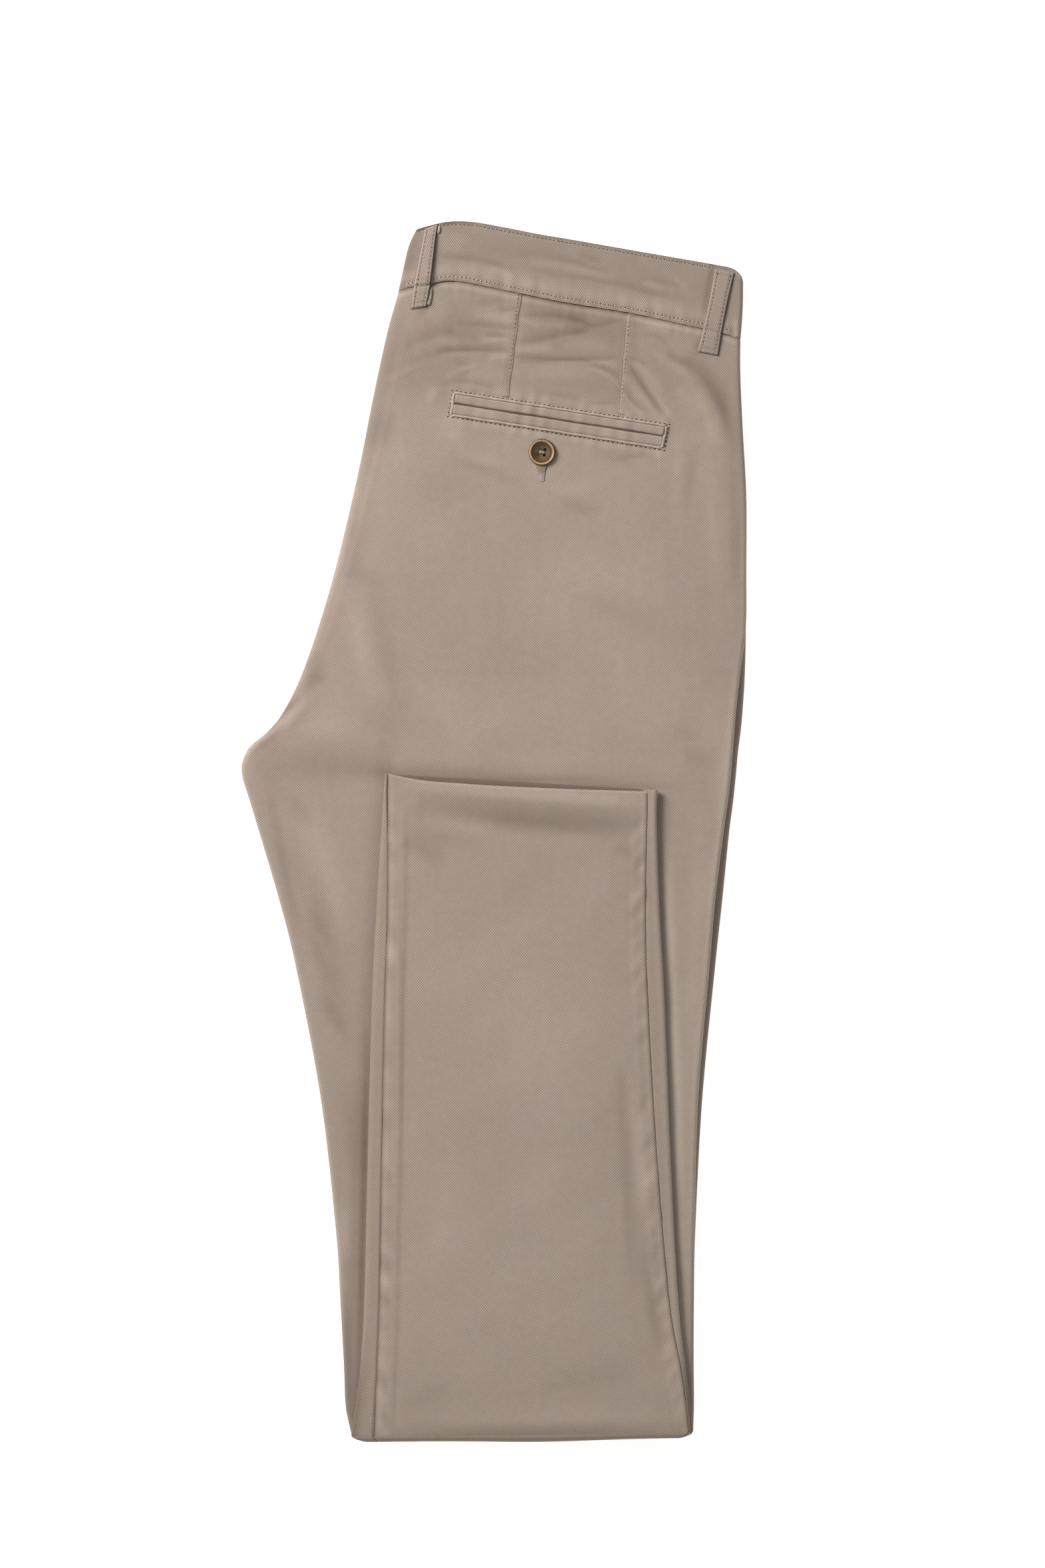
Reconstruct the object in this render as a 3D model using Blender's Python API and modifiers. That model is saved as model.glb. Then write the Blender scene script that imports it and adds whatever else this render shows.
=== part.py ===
"""Chino trousers, folded flat: halved along the seat seam, and each leg folded up at the knee.

Frame: X across the folded trousers, Y from the knee fold up to the waist, Z up from the surface
they lie on. The origin is the middle of the box that holds them, at the surface.
The right half lies on the left half. Each leg is a flat tube that makes a U-turn at the knee:
the right leg turns up over its own thigh and shows its front panel, and the left leg turns up
inside the stack, where only its fold shows.
Sizes in the tables are millimetres; meshes are made in metres.
"""

import math

import bmesh
import bpy
import numpy as np

MM = 0.001

# ---- Driving sizes, mm ----
CLOTH = 1.2            # wall of a cloth panel
BAND_CLOTH = 2.0       # waistband: two layers of cloth and their interlining
SEAM_GAP = 0.3         # between two pieces that are sewn together
LAYER_GAP = 0.4        # between a panel and the hidden layers under it
TUBE_HALF = 1.4        # from the middle of a flat leg to the middle of its wall
EDGE_INSET = 0.7       # from a leg's outline in to the middle of its wall
EDGE_REACH = 2.2       # how far the rounded edge of a flat leg reaches in from its outline
SMALL_EDGE = 1.1       # the same where a seam runs close to the edge
UNDER_STRIP = 1.5      # how far a back panel wraps under a leg's edge where it doesn't show
FOLD_RADIUS = 2.4      # of the right leg's middle line at its knee fold
LEFT_FOLD_RADIUS = 2.2
SEAT_LEVEL = 7.1       # middle of the right leg's tube above the crotch
THIGH_LEVEL = 10.7     # the same below it, where the left leg's fold lies underneath
WAIST_LIFT = 1.4       # how much higher the seat lies where it meets the waistband
SEAT_CROWN = 2.5       # how far the seat panel swells between its edges
FLAP_CROWN = 2.0       # the same for the turned-up leg
HEM_CROWN = 0.6
LEFT_LEVEL = 2.0       # middle of the left leg's tube
UNDERSIDE_LIFT = 1.6   # the left half's rise over its belt loops
RAMP_TOP, RAMP_FOOT = 100.0, 45.0   # Y between which the seat climbs onto the folded left leg
BAND_LEVELS = {"left_back": 2.9, "left_front": 5.4, "right_front": 7.8, "right_back": 10.3}
TAIL = 36.0            # what a panel keeps past a knee fold before the hidden layers take over

# ---- Outline of the folded half, from the waist seam to the knee fold. The walls' middle
# surfaces lie inside it by half a cloth ----
OUTLINE_COLUMNS = ("left_x", "left_y", "right_x", "right_y", "under_right_x", "round_reach")
OUTLINE = (
    (-60.1, 339.0, 154.0, 308.5, 154.0, 14.0),   # waist seam
    (-67.7, 311.5, 154.0, 286.5, 154.0, 13.0),
    (-75.9, 274.0, 155.5, 253.0, 155.5, 11.0),   # back pocket
    (-85.9, 224.0, 157.8, 209.4, 157.8, 9.0),
    (-97.6, 174.0, 157.8, 161.5, 157.8, 8.0),    # hip
    (-108.0, 136.5, 157.5, 128.0, 157.8, 7.0),
    (-120.8, 99.0, 153.6, 96.0, 157.0, 6.5),
    (-133.0, 74.0, 150.9, 72.0, 155.4, 6.0),
    (-143.3, 61.5, 150.0, 60.5, 154.2, 5.5),
    (-153.6, 53.0, 149.4, 52.5, 153.1, 5.0),
    (-158.4, 44.5, 148.7, 44.5, 152.3, 4.0),     # crotch
    (-158.3, 35.5, 148.0, 35.5, 151.5, 3.0),
    (-153.5, 19.8, 146.2, 19.8, 149.9, 2.2),
    (-147.2, -1.0, 143.3, -1.0, 147.2, 2.2),
    (-134.9, -42.7, 138.2, -42.7, 143.0, 2.2),
    (-124.5, -84.4, 134.6, -84.4, 138.5, 2.2),
    (-108.8, -167.7, 127.5, -167.7, 130.4, 2.2),
    (-99.3, -251.0, 125.2, -251.0, 126.0, 2.2),
    (-96.7, -292.7, 124.8, -292.7, 125.2, 2.2),
    (-94.6, -330.0, 124.7, -330.0, 124.8, 2.2),
    (-94.1, -341.0, 124.8, -341.0, 124.8, 2.2),  # panels' tails start here
    (-93.3, -360.0, 124.9, -358.5, 124.4, 2.2),
    (-89.6, -377.1, 124.4, -374.6, 123.4, 2.2),  # start of the knee fold
)
CROTCH_ROWS = (9.0, 11.5)      # rows between which the seat seam gives way to the inseams
CORE_END_ROW = 19
TAIL_ROW = 20

# ---- The right leg past its knee fold, up to the hem ----
FLAP_COLUMNS = ("left_x", "left_y", "right_x", "right_y", "left_seam", "right_seam", "crown")
FLAP = (
    (-89.6, -377.1, 124.0, -374.6, -75.2, 121.4, 0.0),
    (-86.4, -355.0, 121.9, -354.0, -74.2, 119.2, 1.0),
    (-83.9, -334.4, 119.4, -334.4, -73.3, 116.3, 1.6),
    (-81.4, -292.7, 114.9, -292.7, -71.8, 109.2, FLAP_CROWN),
    (-79.3, -205.0, 110.2, -205.0, -70.4, 101.6, FLAP_CROWN),
    (-76.7, -105.2, 106.4, -105.2, -68.4, 95.8, FLAP_CROWN),
    (-74.2, -55.0, 103.6, -55.0, -66.8, 94.4, 1.8),
    (-71.2, -5.0, 101.8, -8.0, -66.6, 95.0, 1.4),
    (-69.6, 20.0, 101.4, 12.0, -66.9, 95.5, 0.9),
    (-68.6, 36.0, 101.9, 26.0, -66.8, 95.4, HEM_CROWN),
)
HEM_STEP = 3.0   # how far the front panel's hem stops short of the back panel's

# How much narrower a leg is at its knee fold, by the angle of the turn in degrees
FOLD_ANGLES = (36.0, 72.0, 108.0, 144.0)
FOLD_INSET = 7.2

# ---- Waistband: its top edge rises over the line between its ends by this much ----
BAND_TOP = dict(left_x=-51.9, left_y=376.7, right_x=155.6, right_y=343.9)
BOW_COLUMNS = ("across", "at_seam", "at_top")
BOW = (
    (0.000, 0.0, 0.0),
    (0.036, 3.0, 3.5),
    (0.093, 6.6, 7.8),
    (0.130, 9.4, 9.4),
    (0.170, 10.5, 10.2),
    (0.250, 9.9, 10.1),
    (0.370, 8.3, 9.3),
    (0.450, 7.2, 9.2),
    (0.690, 6.0, 8.6),
    (0.830, 3.9, 8.3),
    (0.930, 2.2, 8.0),
    (0.960, 1.5, 7.8),
    (0.972, 1.1, 7.4),
    (0.986, 0.6, 6.0),
    (0.993, 0.3, 4.6),
    (1.000, 0.0, 0.0),
)
BOW_ROWS = 3.0                # rows below the waist seam over which the bow dies out
BAND_END_ROUND = 9.0

# ---- Sewn-on pieces ----
LOOP_WIDTH, LOOP_CLOTH, LOOP_LIFT = 13.0, 1.4, 1.0
UNDER_LOOP_CLOTH = 1.2
BELT_LOOPS = (    # name, across the band, at the seam and at the top edge
    ("belt_loop_back", 0.060, 0.045),
    ("belt_loop_side", 0.921, 0.949),
)
LOOP_TAIL_ROWS = 0.50         # how far a loop runs on below the waist seam, in outline rows
WELT_CLOTH = 0.9
POCKET = dict(left=(-24.8, 267.7), right=(105.2, 247.3))   # the two ends of the slit
WELT_WIDTH, SLIT = 6.6, 0.8
BUTTON_CENTRE = (29.7, 237.2)
BUTTON_RADIUS, BUTTON_HEIGHT = 8.5, 3.2
BUTTON_HOLE, BUTTON_HOLE_PITCH = 1.0, 3.4
BUTTON_SIDES = 28

CLOTH_COLOUR = (0.381, 0.305, 0.250, 1.0)
BUTTON_COLOUR = (0.105, 0.062, 0.030, 1.0)
THREAD_COLOUR = (0.45, 0.30, 0.15, 1.0)


# ---- Tables and curves ----
def column(table, columns, name):
    return [row[columns.index(name)] for row in table]


def smooth(values, at):
    """The value of a row number, with a Catmull-Rom curve through the rows."""
    last = len(values) - 1
    at = min(max(at, 0.0), float(last))
    i = min(int(at), last - 1)
    f = at - i
    before, here = values[max(i - 1, 0)], values[i]
    there, after = values[i + 1], values[min(i + 2, last)]
    slope_here, slope_there = (there - before) / 2, (after - here) / 2
    return (
        here * (1 + 2 * f) * (1 - f) ** 2
        + slope_here * f * (1 - f) ** 2
        + there * f * f * (3 - 2 * f)
        + slope_there * f * f * (f - 1)
    )


def eased(low, high, value):
    """0 below low, 1 above high, with a smooth step between."""
    f = min(max((value - low) / (high - low), 0.0), 1.0)
    return f * f * (3 - 2 * f)


def outline(name, row):
    return smooth(column(OUTLINE, OUTLINE_COLUMNS, name), row)


def flap(name, row):
    return smooth(column(FLAP, FLAP_COLUMNS, name), row)


def bow(share, row):
    """How far the cross line through a row rises at this share of its width."""
    shares = column(BOW, BOW_COLUMNS, "across")
    at_seam = np.interp(share, shares, column(BOW, BOW_COLUMNS, "at_seam"))
    at_top = np.interp(share, shares, column(BOW, BOW_COLUMNS, "at_top"))
    if row < 0:
        return at_seam + (at_top - at_seam) * -row
    return at_seam * (1 - eased(0, BOW_ROWS, row))


def crown_shape(share):
    """1 in the middle of a panel, falling to 0 at its edges."""
    return 1 - abs(2 * share - 1) ** 3


# ---- Stations: one cross line of a flat leg each ----
def station(row, left, right, middle, outward, **more):
    """A cross line from left to right, (x, y) each. middle is the height of the leg's middle,
    and outward the direction, as (y, z), from there to the leg's outer wall."""
    return dict(row=row, left=left, right=right, middle=middle, outward=outward, **more)


def seat_middle(row):
    """Height of the middle of the right leg's tube."""
    y = (outline("left_y", row) + outline("right_y", row)) / 2
    climbed = 1 - eased(RAMP_FOOT, RAMP_TOP, y)
    lift = WAIST_LIFT * (1 - eased(0, 2.5, row))
    return SEAT_LEVEL + lift + (THIGH_LEVEL - SEAT_LEVEL) * climbed


def left_middle(row):
    """Height of the middle of the left leg's tube: lifted by its belt loops at the waist."""
    return LEFT_LEVEL + UNDERSIDE_LIFT * (1 - eased(0.55, 1.6, row))


def inseam_share(row):
    """0 where the left edge is the seat seam, 1 where it is the inseams."""
    return eased(*CROTCH_ROWS, row)


def thigh_station(row, side):
    """side is 'right' for the upper half and 'left' for the half under it."""
    inset = 0.8 * inseam_share(row) if side == "left" else 0.0
    right = "right_x" if side == "right" else "under_right_x"
    y = (outline("left_y", row) + outline("right_y", row)) / 2
    crown = SEAT_CROWN * eased(0, 3, row) * eased(RAMP_FOOT, RAMP_TOP + 60, y)
    seam_height = (seat_middle(row) + TUBE_HALF + left_middle(row) - TUBE_HALF) / 2
    return station(
        row,
        (outline("left_x", row) + EDGE_INSET + inset, outline("left_y", row)),
        (outline(right, row) - EDGE_INSET, outline("right_y", row)),
        seat_middle(row) if side == "right" else left_middle(row),
        (0.0, -1.0),
        crown_in=crown if side == "right" else 0.0,
        crown_out=0.0,
        reach=(outline("round_reach", row), EDGE_REACH),
        strip=(UNDER_STRIP, UNDER_STRIP),
        seam_height=seam_height,
        inseam=inseam_share(row),
    )


def fold_station(angle, start, end, radius):
    """A cross line part of the way round a knee fold: start and end are the stations that the
    fold joins. The middle line is a half circle between them."""
    f = angle / 180
    turn = math.radians(angle)
    inset = FOLD_INSET * math.sin(turn) ** 2

    def mixed(a, b):
        return a + (b - a) * f

    made = dict(end if f > 0.5 else start)
    made["left"] = (
        mixed(start["left"][0], end["left"][0]) + inset,
        mixed(start["left"][1], end["left"][1]) - radius * math.sin(turn),
    )
    made["right"] = (
        mixed(start["right"][0], end["right"][0]) - inset,
        mixed(start["right"][1], end["right"][1]) - radius * math.sin(turn),
    )
    made["middle"] = start["middle"] + radius * (1 - math.cos(turn))
    made["outward"] = (-math.sin(turn), -math.cos(turn))
    made["gap"] = SEAM_GAP * (1 + 2 * math.sin(turn))
    made["crown_in"] = made["crown_out"] = 0.0
    made["strip"] = tuple(mixed(a, b) for a, b in zip(start["strip"], end["strip"]))
    made["reach"] = tuple(mixed(a, b) for a, b in zip(start["reach"], end["reach"]))
    return made


def flap_station(row):
    left, right = flap("left_x", row) + EDGE_INSET, flap("right_x", row) - EDGE_INSET
    insets = (flap("left_seam", row) - left, right - flap("right_seam", row))
    reach = tuple(min(EDGE_REACH, max(SMALL_EDGE, inset - 0.5)) for inset in insets)
    return station(
        row,
        (left, flap("left_y", row)),
        (right, flap("right_y", row)),
        THIGH_LEVEL + 2 * FOLD_RADIUS,
        (0.0, 1.0),
        crown_in=0.0,
        crown_out=flap("crown", row),
        reach=reach,
        strip=tuple(max(i - r - SEAM_GAP / 2, 0.3) for i, r in zip(insets, reach)),
        seam_height=0.0,
        inseam=1.0,
    )


def place(st, x, out):
    """World point (x, y, z) of a point of a cross section: x across, and out from the middle
    of the leg towards its outer wall."""
    share = (x - st["left"][0]) / (st["right"][0] - st["left"][0])
    y = st["left"][1] + (st["right"][1] - st["left"][1]) * share
    if st["outward"][0] == 0.0 and st["outward"][1] < 0:
        y += bow(share, st["row"])
    return (x, y + st["outward"][0] * out, st["middle"] + st["outward"][1] * out)


def share_of(st, x):
    return (x - st["left"][0]) / (st["right"][0] - st["left"][0])


EDGE_POINTS = 7      # on a rounded edge and its strip
ARC_POINTS = 5       # of those, on the half round of a leg's edge
WALL_SHARES = (0.07, 0.16, 0.32, 0.5, 0.68, 0.84, 0.93)


def quarter_turn(share):
    """Angle along a quarter round, with its points closer together near its end."""
    return (math.pi / 2) * (1 - (1 - share) ** 2)


def edge_curve(st, side, wall):
    """Points (x, out) from the flat of one wall round the edge of the leg to the other wall.
    wall is -1 where the piece is the inner wall and wraps outwards, and 1 the other way.
    Where the edge is the seat seam, the curve is a quarter round down to the seam."""
    index = 0 if side == "left" else 1
    edge_x = st["left"][0] if side == "left" else st["right"][0]
    inward = 1 if side == "left" else -1
    reach = st["reach"][index]
    seam = st["inseam"] if side == "left" else 1.0
    deep = abs(st["seam_height"] - (st["middle"] - wall * TUBE_HALF))
    points = []
    for k in range(EDGE_POINTS):
        turn = math.pi * min(k, ARC_POINTS - 1) / (ARC_POINTS - 1)
        strip = st["strip"][index] * max(k - ARC_POINTS + 1, 0) / (EDGE_POINTS - ARC_POINTS)
        x = edge_x + inward * (reach - reach * math.sin(turn) + strip)
        out = wall * TUBE_HALF * math.cos(turn)
        if seam < 1:
            quarter = quarter_turn(k / (EDGE_POINTS - 1))
            lowest = deep - SEAM_GAP / 2
            seat_x = edge_x + inward * reach * (1 - math.sin(quarter))
            seat_out = wall * (TUBE_HALF - lowest * (1 - math.cos(quarter)))
            x = seat_x + (x - seat_x) * seam
            out = seat_out + (out - seat_out) * seam
        points.append((x, out))
    return points


def wall_out(st, x, wall):
    """Height of a wall over the middle of the leg, with the swell of its panel."""
    crown = st["crown_out"] if wall > 0 else st["crown_in"]
    return wall * (TUBE_HALF + crown * crown_shape(share_of(st, x)))


def wrapped_ring(st, wall):
    """A back panel's cross section: one wall of the leg and both of its rounded edges."""
    left = edge_curve(st, "left", wall)
    right = edge_curve(st, "right", wall)
    start, stop = left[0][0], right[0][0]
    middle = [start + (stop - start) * share for share in WALL_SHARES]
    flat = [(x, wall_out(st, x, wall)) for x in middle]
    ends = [
        [(x, out + wall_out(st, x, wall) - wall * TUBE_HALF) if k == 0 else (x, out)
         for k, (x, out) in enumerate(edge)]
        for edge in (left, right)
    ]
    for edge, side in ((ends[0], left), (ends[1], right)):
        for k in range(ARC_POINTS - 1, EDGE_POINTS):
            x, out = side[k]
            if out * wall < 0 and st["inseam"] >= 1:
                edge[k] = (x, wall_out(st, x, -wall))
    ring = ends[0][::-1] + flat + ends[1]
    return [place(st, x, out) for x, out in ring]


def front_ring(st):
    """The outer wall of the right leg between its two seams."""
    gap = st.get("gap", SEAM_GAP)
    left = st["left"][0] + st["reach"][0] + st["strip"][0] + gap
    right = st["right"][0] - st["reach"][1] - st["strip"][1] - gap
    xs = [left + (right - left) * f for f in (0, 0.07, 0.2, 0.4, 0.6, 0.8, 0.93, 1)]
    return [place(st, x, wall_out(st, x, 1)) for x in xs]


# ---- Meshes ----
def material(name, colour, roughness):
    made = bpy.data.materials.new(name)
    made.use_nodes = True
    shader = made.node_tree.nodes["Principled BSDF"]
    shader.inputs["Base Color"].default_value = colour
    shader.inputs["Roughness"].default_value = roughness
    return made


def add_object(name, mesh, finish, collection):
    obj = bpy.data.objects.new(name, mesh)
    mesh.materials.append(finish)
    collection.objects.link(obj)
    return obj


def grid_mesh(name, rows, closed=False):
    """A mesh of quads between rows of points in mm. closed joins each row's ends."""
    work = bmesh.new()
    made = [[work.verts.new(np.array(p) * MM) for p in row] for row in rows]
    wide = len(rows[0])
    for upper, lower in zip(made, made[1:]):
        for i in range(wide if closed else wide - 1):
            j = (i + 1) % wide
            work.faces.new((upper[i], lower[i], lower[j], upper[j]))
    if closed:
        work.faces.new(made[0])
        work.faces.new(made[-1][::-1])
    bmesh.ops.recalc_face_normals(work, faces=work.faces)
    mesh = bpy.data.meshes.new(name)
    work.to_mesh(mesh)
    work.free()
    return mesh


def add_wall(name, rows, thickness, finish, collection):
    """A cloth panel: the open surface through the rows, given its thickness by Solidify."""
    obj = add_object(name, grid_mesh(name, rows), finish, collection)
    solidify = obj.modifiers.new("Cloth", "SOLIDIFY")
    solidify.thickness = thickness * MM
    solidify.offset = 0
    solidify.use_even_offset = True
    return obj


# ---- The two legs ----
def right_leg():
    """Stations of the right leg: down the thigh, round the knee fold, up to the hem."""
    thigh = [thigh_station(r, "right") for r in range(len(OUTLINE))]
    turned = [flap_station(r) for r in range(len(FLAP))]
    fold = [fold_station(a, thigh[-1], turned[0], FOLD_RADIUS) for a in FOLD_ANGLES]
    return thigh, fold, turned


def left_leg():
    """Stations of the left leg: down the thigh, round its fold, and a short tail over it."""
    thigh = [thigh_station(r, "left") for r in range(len(OUTLINE))]
    raised = 2 * LEFT_FOLD_RADIUS
    tail = []
    for row in (0, 1, 1.75):
        st = flap_station(row)
        st["middle"] = LEFT_LEVEL + raised
        st["crown_out"] = 0.0
        st["reach"] = (EDGE_REACH, EDGE_REACH)
        st["strip"] = (UNDER_STRIP, UNDER_STRIP)
        tail.append(st)
    for st in (thigh[-1], tail[0]):
        st["left"] = (st["left"][0] + 1.0, st["left"][1] + 1.6)
        st["right"] = (st["right"][0] - 1.0, st["right"][1] + 1.6)
    fold = [fold_station(a, thigh[-1], tail[0], LEFT_FOLD_RADIUS) for a in FOLD_ANGLES]
    return thigh, fold, tail


# ---- Hidden layers: one rounded solid, layered at its edges ----
SIDE_POINTS = 11


def tube_side(edge, inner, inward, upper_bottom, upper_top, lower_edge, inset):
    """Side of the hidden layers where the two legs lie on each other, from below: the left
    thigh's front panel, the left lower leg, then the right thigh's front panel."""
    lower = 4.0
    low, high = lower_edge + inward * inset, edge + inward * inset
    return [
        (low + inward * 0.3, 1.7),
        (low, 2.0),
        (low, lower - 0.5),
        (low + inward * 0.5, lower - 0.1),
        (inner + inward * 1.2, lower + 0.1),
        (inner, (lower + upper_bottom) / 2),
        (inner + inward * 1.2, upper_bottom - 0.5),
        (high + inward * 0.5, upper_bottom + 0.1),
        (high, upper_bottom + 0.5),
        (high, upper_top - 0.4),
        (high + inward * 0.6, upper_top),
    ]


def seat_side(st, left_st, top):
    """Side of the hidden layers inside the rounded seat seam, from below."""
    reach = st["reach"][0]
    low = left_st["middle"] - TUBE_HALF + CLOTH / 2 + 0.6
    middle, half = (low + top) / 2, (top - low) / 2
    points = []
    for k in range(SIDE_POINTS):
        turn = math.pi * (k + 0.5) / SIDE_POINTS
        x = st["left"][0] + 2.6 + reach * (1 - 0.85 * math.sin(turn))
        points.append((x, middle - half * math.cos(turn)))
    return points


def hidden_ring(row):
    """Cross section of the hidden layers at one row of the outline."""
    st, left_st = thigh_station(row, "right"), thigh_station(row, "left")
    upper_bottom = st["middle"] - TUBE_HALF - CLOTH / 2
    upper_top = st["middle"] + TUBE_HALF - CLOTH / 2 - LAYER_GAP
    folded = eased(RAMP_FOOT - 20, RAMP_FOOT + 25, -st["left"][1] + 2 * RAMP_FOOT)
    leg_left, leg_right = -78.0, 112.0
    in_left = st["left"][0] + 9 + (leg_left - st["left"][0] - 9) * folded
    in_right = st["right"][0] - 9 + (leg_right - st["right"][0] + 9) * folded
    right = tube_side(
        st["right"][0], in_right, -1, upper_bottom, upper_top, left_st["right"][0], 4.3
    )
    left = tube_side(
        st["left"][0], in_left, 1, upper_bottom, upper_top, left_st["left"][0],
        st["reach"][0] + UNDER_STRIP + 0.6,
    )
    if left_st["middle"] > LEFT_LEVEL:
        lift = left_st["middle"] - LEFT_LEVEL
        right = [(x, z + lift * (1 - k / SIDE_POINTS)) for k, (x, z) in enumerate(right)]
    seam = inseam_share(row)
    if seam < 1:
        seat = seat_side(st, left_st, upper_top)
        left = [
            (a + (b - a) * seam, c + (d - c) * seam)
            for (a, c), (b, d) in zip(seat, left)
        ]
    top = []
    for share in (0.9, 0.72, 0.5, 0.28, 0.1):
        x = left[-1][0] + (right[-1][0] - left[-1][0]) * share
        top.append((x, upper_top + st["crown_in"] * crown_shape(share_of(st, x)) - 0.05))
    ring = right + top + left[::-1]
    return [place_at(st, x, z) for x, z in ring]


def place_at(st, x, z):
    return (x, place(st, x, 0)[1], z)


def tongue_ring(row_y, low, high, narrow):
    """Cross section of the hidden layers inside the left leg's knee fold."""
    left, right = -79.5 + narrow, 112.0 - narrow
    middle, half = (low + high) / 2, (high - low) / 2
    sides = []
    for x, inward in ((right, -1), (left, 1)):
        side = []
        for k in range(SIDE_POINTS):
            turn = math.pi * k / (SIDE_POINTS - 1)
            side.append((x + inward * 3 * (1 - math.sin(turn)), middle - half * math.cos(turn)))
        sides.append(side)
    top = [(left + 3 + (right - left - 6) * f, high) for f in (0.9, 0.72, 0.5, 0.28, 0.1)]
    ring = sides[0] + top + sides[1][::-1]
    return [(x, row_y, z) for x, z in ring]


def add_hidden_layers(finish, collection):
    rows = [hidden_ring(r) for r in [0.06, *range(1, CORE_END_ROW + 1)]]
    for y, low, high, narrow in (
        (-331.0, 1.9, 6.6, 0.0),
        (-352.0, 1.9, 6.5, 0.5),
        (-372.0, 2.1, 6.3, 3.0),
        (-375.3, 3.0, 5.4, 6.0),
    ):
        rows.append(tongue_ring(y, low, high, narrow))
    obj = add_object("hidden_layers", grid_mesh("hidden_layers", rows, True), finish, collection)
    return obj


# ---- Waistband ----
def band_station(share_up):
    """A cross line of the waistband, share_up of the way from its seam to its top edge."""
    low = dict(
        left_x=outline("left_x", 0), left_y=outline("left_y", 0) + SEAM_GAP,
        right_x=outline("right_x", 0), right_y=outline("right_y", 0) + SEAM_GAP,
    )
    at = {k: low[k] + (BAND_TOP[k] - low[k]) * share_up for k in low}
    at["right_x"] += 0.5 * math.sin(math.pi * share_up)
    return station(
        -share_up,
        (at["left_x"] + BAND_CLOTH / 2, at["left_y"]),
        (at["right_x"] - BAND_CLOTH / 2, at["right_y"]),
        0.0,
        (0.0, -1.0),
    )


def band_ring(share_up, side):
    """One half of the waistband: its back half, round the side edge, and its front half, which
    lies hidden between the two backs and stops short of the seat seam."""
    st = band_station(share_up)
    back, front = BAND_LEVELS[side + "_back"], BAND_LEVELS[side + "_front"]
    up = 1 if side == "right" else -1
    half = abs(back - front) / 2
    seam_height = (BAND_LEVELS["right_back"] + BAND_LEVELS["left_back"]) / 2
    deep = abs(back - seam_height) - SEAM_GAP / 2
    reach, side_reach = outline("round_reach", 0), EDGE_REACH
    left, right = st["left"][0], st["right"][0]
    ring = []
    for k in range(EDGE_POINTS - 1, 0, -1):
        turn = quarter_turn(k / (EDGE_POINTS - 1))
        ring.append((left + reach * (1 - math.sin(turn)), back - up * deep * (1 - math.cos(turn))))
    start, stop = left + reach, right - side_reach
    ring += [(start + (stop - start) * f, back) for f in (0.0, *WALL_SHARES, 1.0)]
    for k in range(1, 4):
        turn = math.pi * k / 4
        x = stop + side_reach * math.sin(turn)
        ring.append((x, (back + front) / 2 + up * half * math.cos(turn)))
    front_start = left + reach + 4
    ring += [(stop + (front_start - stop) * f, front) for f in (0, 0.2, 0.4, 0.6, 0.8, 1)]
    return [place_at(st, x, z) for x, z in ring]


def add_waistband(side, finish, collection):
    rows = [band_ring(f, side) for f in (0.0, 0.35, 0.7, 1.0)]
    return add_wall("waistband_" + side, rows, BAND_CLOTH, finish, collection)


# ---- What lies on the panels ----
def seat_point(x, y, out):
    """Point over the seat panel's outer face at this x and y, moved out by out."""
    low, high = 0.0, 12.0
    for _ in range(40):
        row = (low + high) / 2
        st = thigh_station(row, "right")
        if place(st, x, 0)[1] > y:
            low = row
        else:
            high = row
    share = share_of(st, x)
    top = st["middle"] + TUBE_HALF + CLOTH / 2 + st["crown_in"] * crown_shape(share)
    return (x, y, top + out)


def add_belt_loop(name, at_seam, at_top, side, finish, collection):
    """A strip over the waistband from its top edge to below the waist seam. On the upper side
    it stands off the band a little; on the underside it lies flat on the surface."""
    rows = []
    steps = 8
    for k in range(steps + 1):
        f = k / steps
        up = 1.0 - f * (1.0 + LOOP_TAIL_ROWS)
        share = at_seam + (at_top - at_seam) * up
        if up >= 0:
            st = band_station(min(up, 0.985))
        else:
            st = thigh_station(-up, side)
        width = st["right"][0] - st["left"][0]
        row = []
        for across in (-0.5, -0.17, 0.17, 0.5):
            x = st["left"][0] + share * width + across * LOOP_WIDTH
            y = place(st, x, 0)[1]
            if side == "left":
                z = UNDER_LOOP_CLOTH / 2
            else:
                z = loop_height(st, x, max(up, 0.0)) + LOOP_LIFT * math.sin(math.pi * f)
            row.append((x, y, z))
        rows.append(row)
    thick = LOOP_CLOTH if side == "right" else UNDER_LOOP_CLOTH
    return add_wall(name, rows, thick, finish, collection)


def loop_height(st, x, on_band):
    """Height of a loop's middle over the band, which rounds down at the seat seam."""
    reach = 14.0
    top = BAND_LEVELS["right_back"] + BAND_CLOTH / 2
    deep = BAND_LEVELS["right_back"] - (BAND_LEVELS["right_back"] + BAND_LEVELS["left_back"]) / 2
    into = max(0.0, st["left"][0] + reach - x) / reach
    drop = deep * (1 - math.sqrt(max(0.0, 1 - min(into, 0.999) ** 2)))
    return top + SEAM_GAP + LOOP_CLOTH / 2 + 0.5 - drop


def add_welts(finish, collection):
    """The back pocket's two welts, on either side of its slit."""
    (x0, y0), (x1, y1) = POCKET["left"], POCKET["right"]
    along = np.array([x1 - x0, y1 - y0])
    along /= np.linalg.norm(along)
    up = np.array([-along[1], along[0]])
    length = math.hypot(x1 - x0, y1 - y0)
    for name, direction in (("pocket_welt_upper", 1), ("pocket_welt_lower", -1)):
        rows = []
        for f in np.linspace(0, 1, 9):
            at = np.array([x0, y0]) + along * length * f
            row = []
            for off in (SLIT / 2, SLIT / 2 + WELT_WIDTH * 0.5, SLIT / 2 + WELT_WIDTH):
                x, y = at + up * direction * off
                row.append(seat_point(x, y, LAYER_GAP + WELT_CLOTH / 2))
            rows.append(row)
        add_wall(name, rows, WELT_CLOTH, finish, collection)


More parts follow.
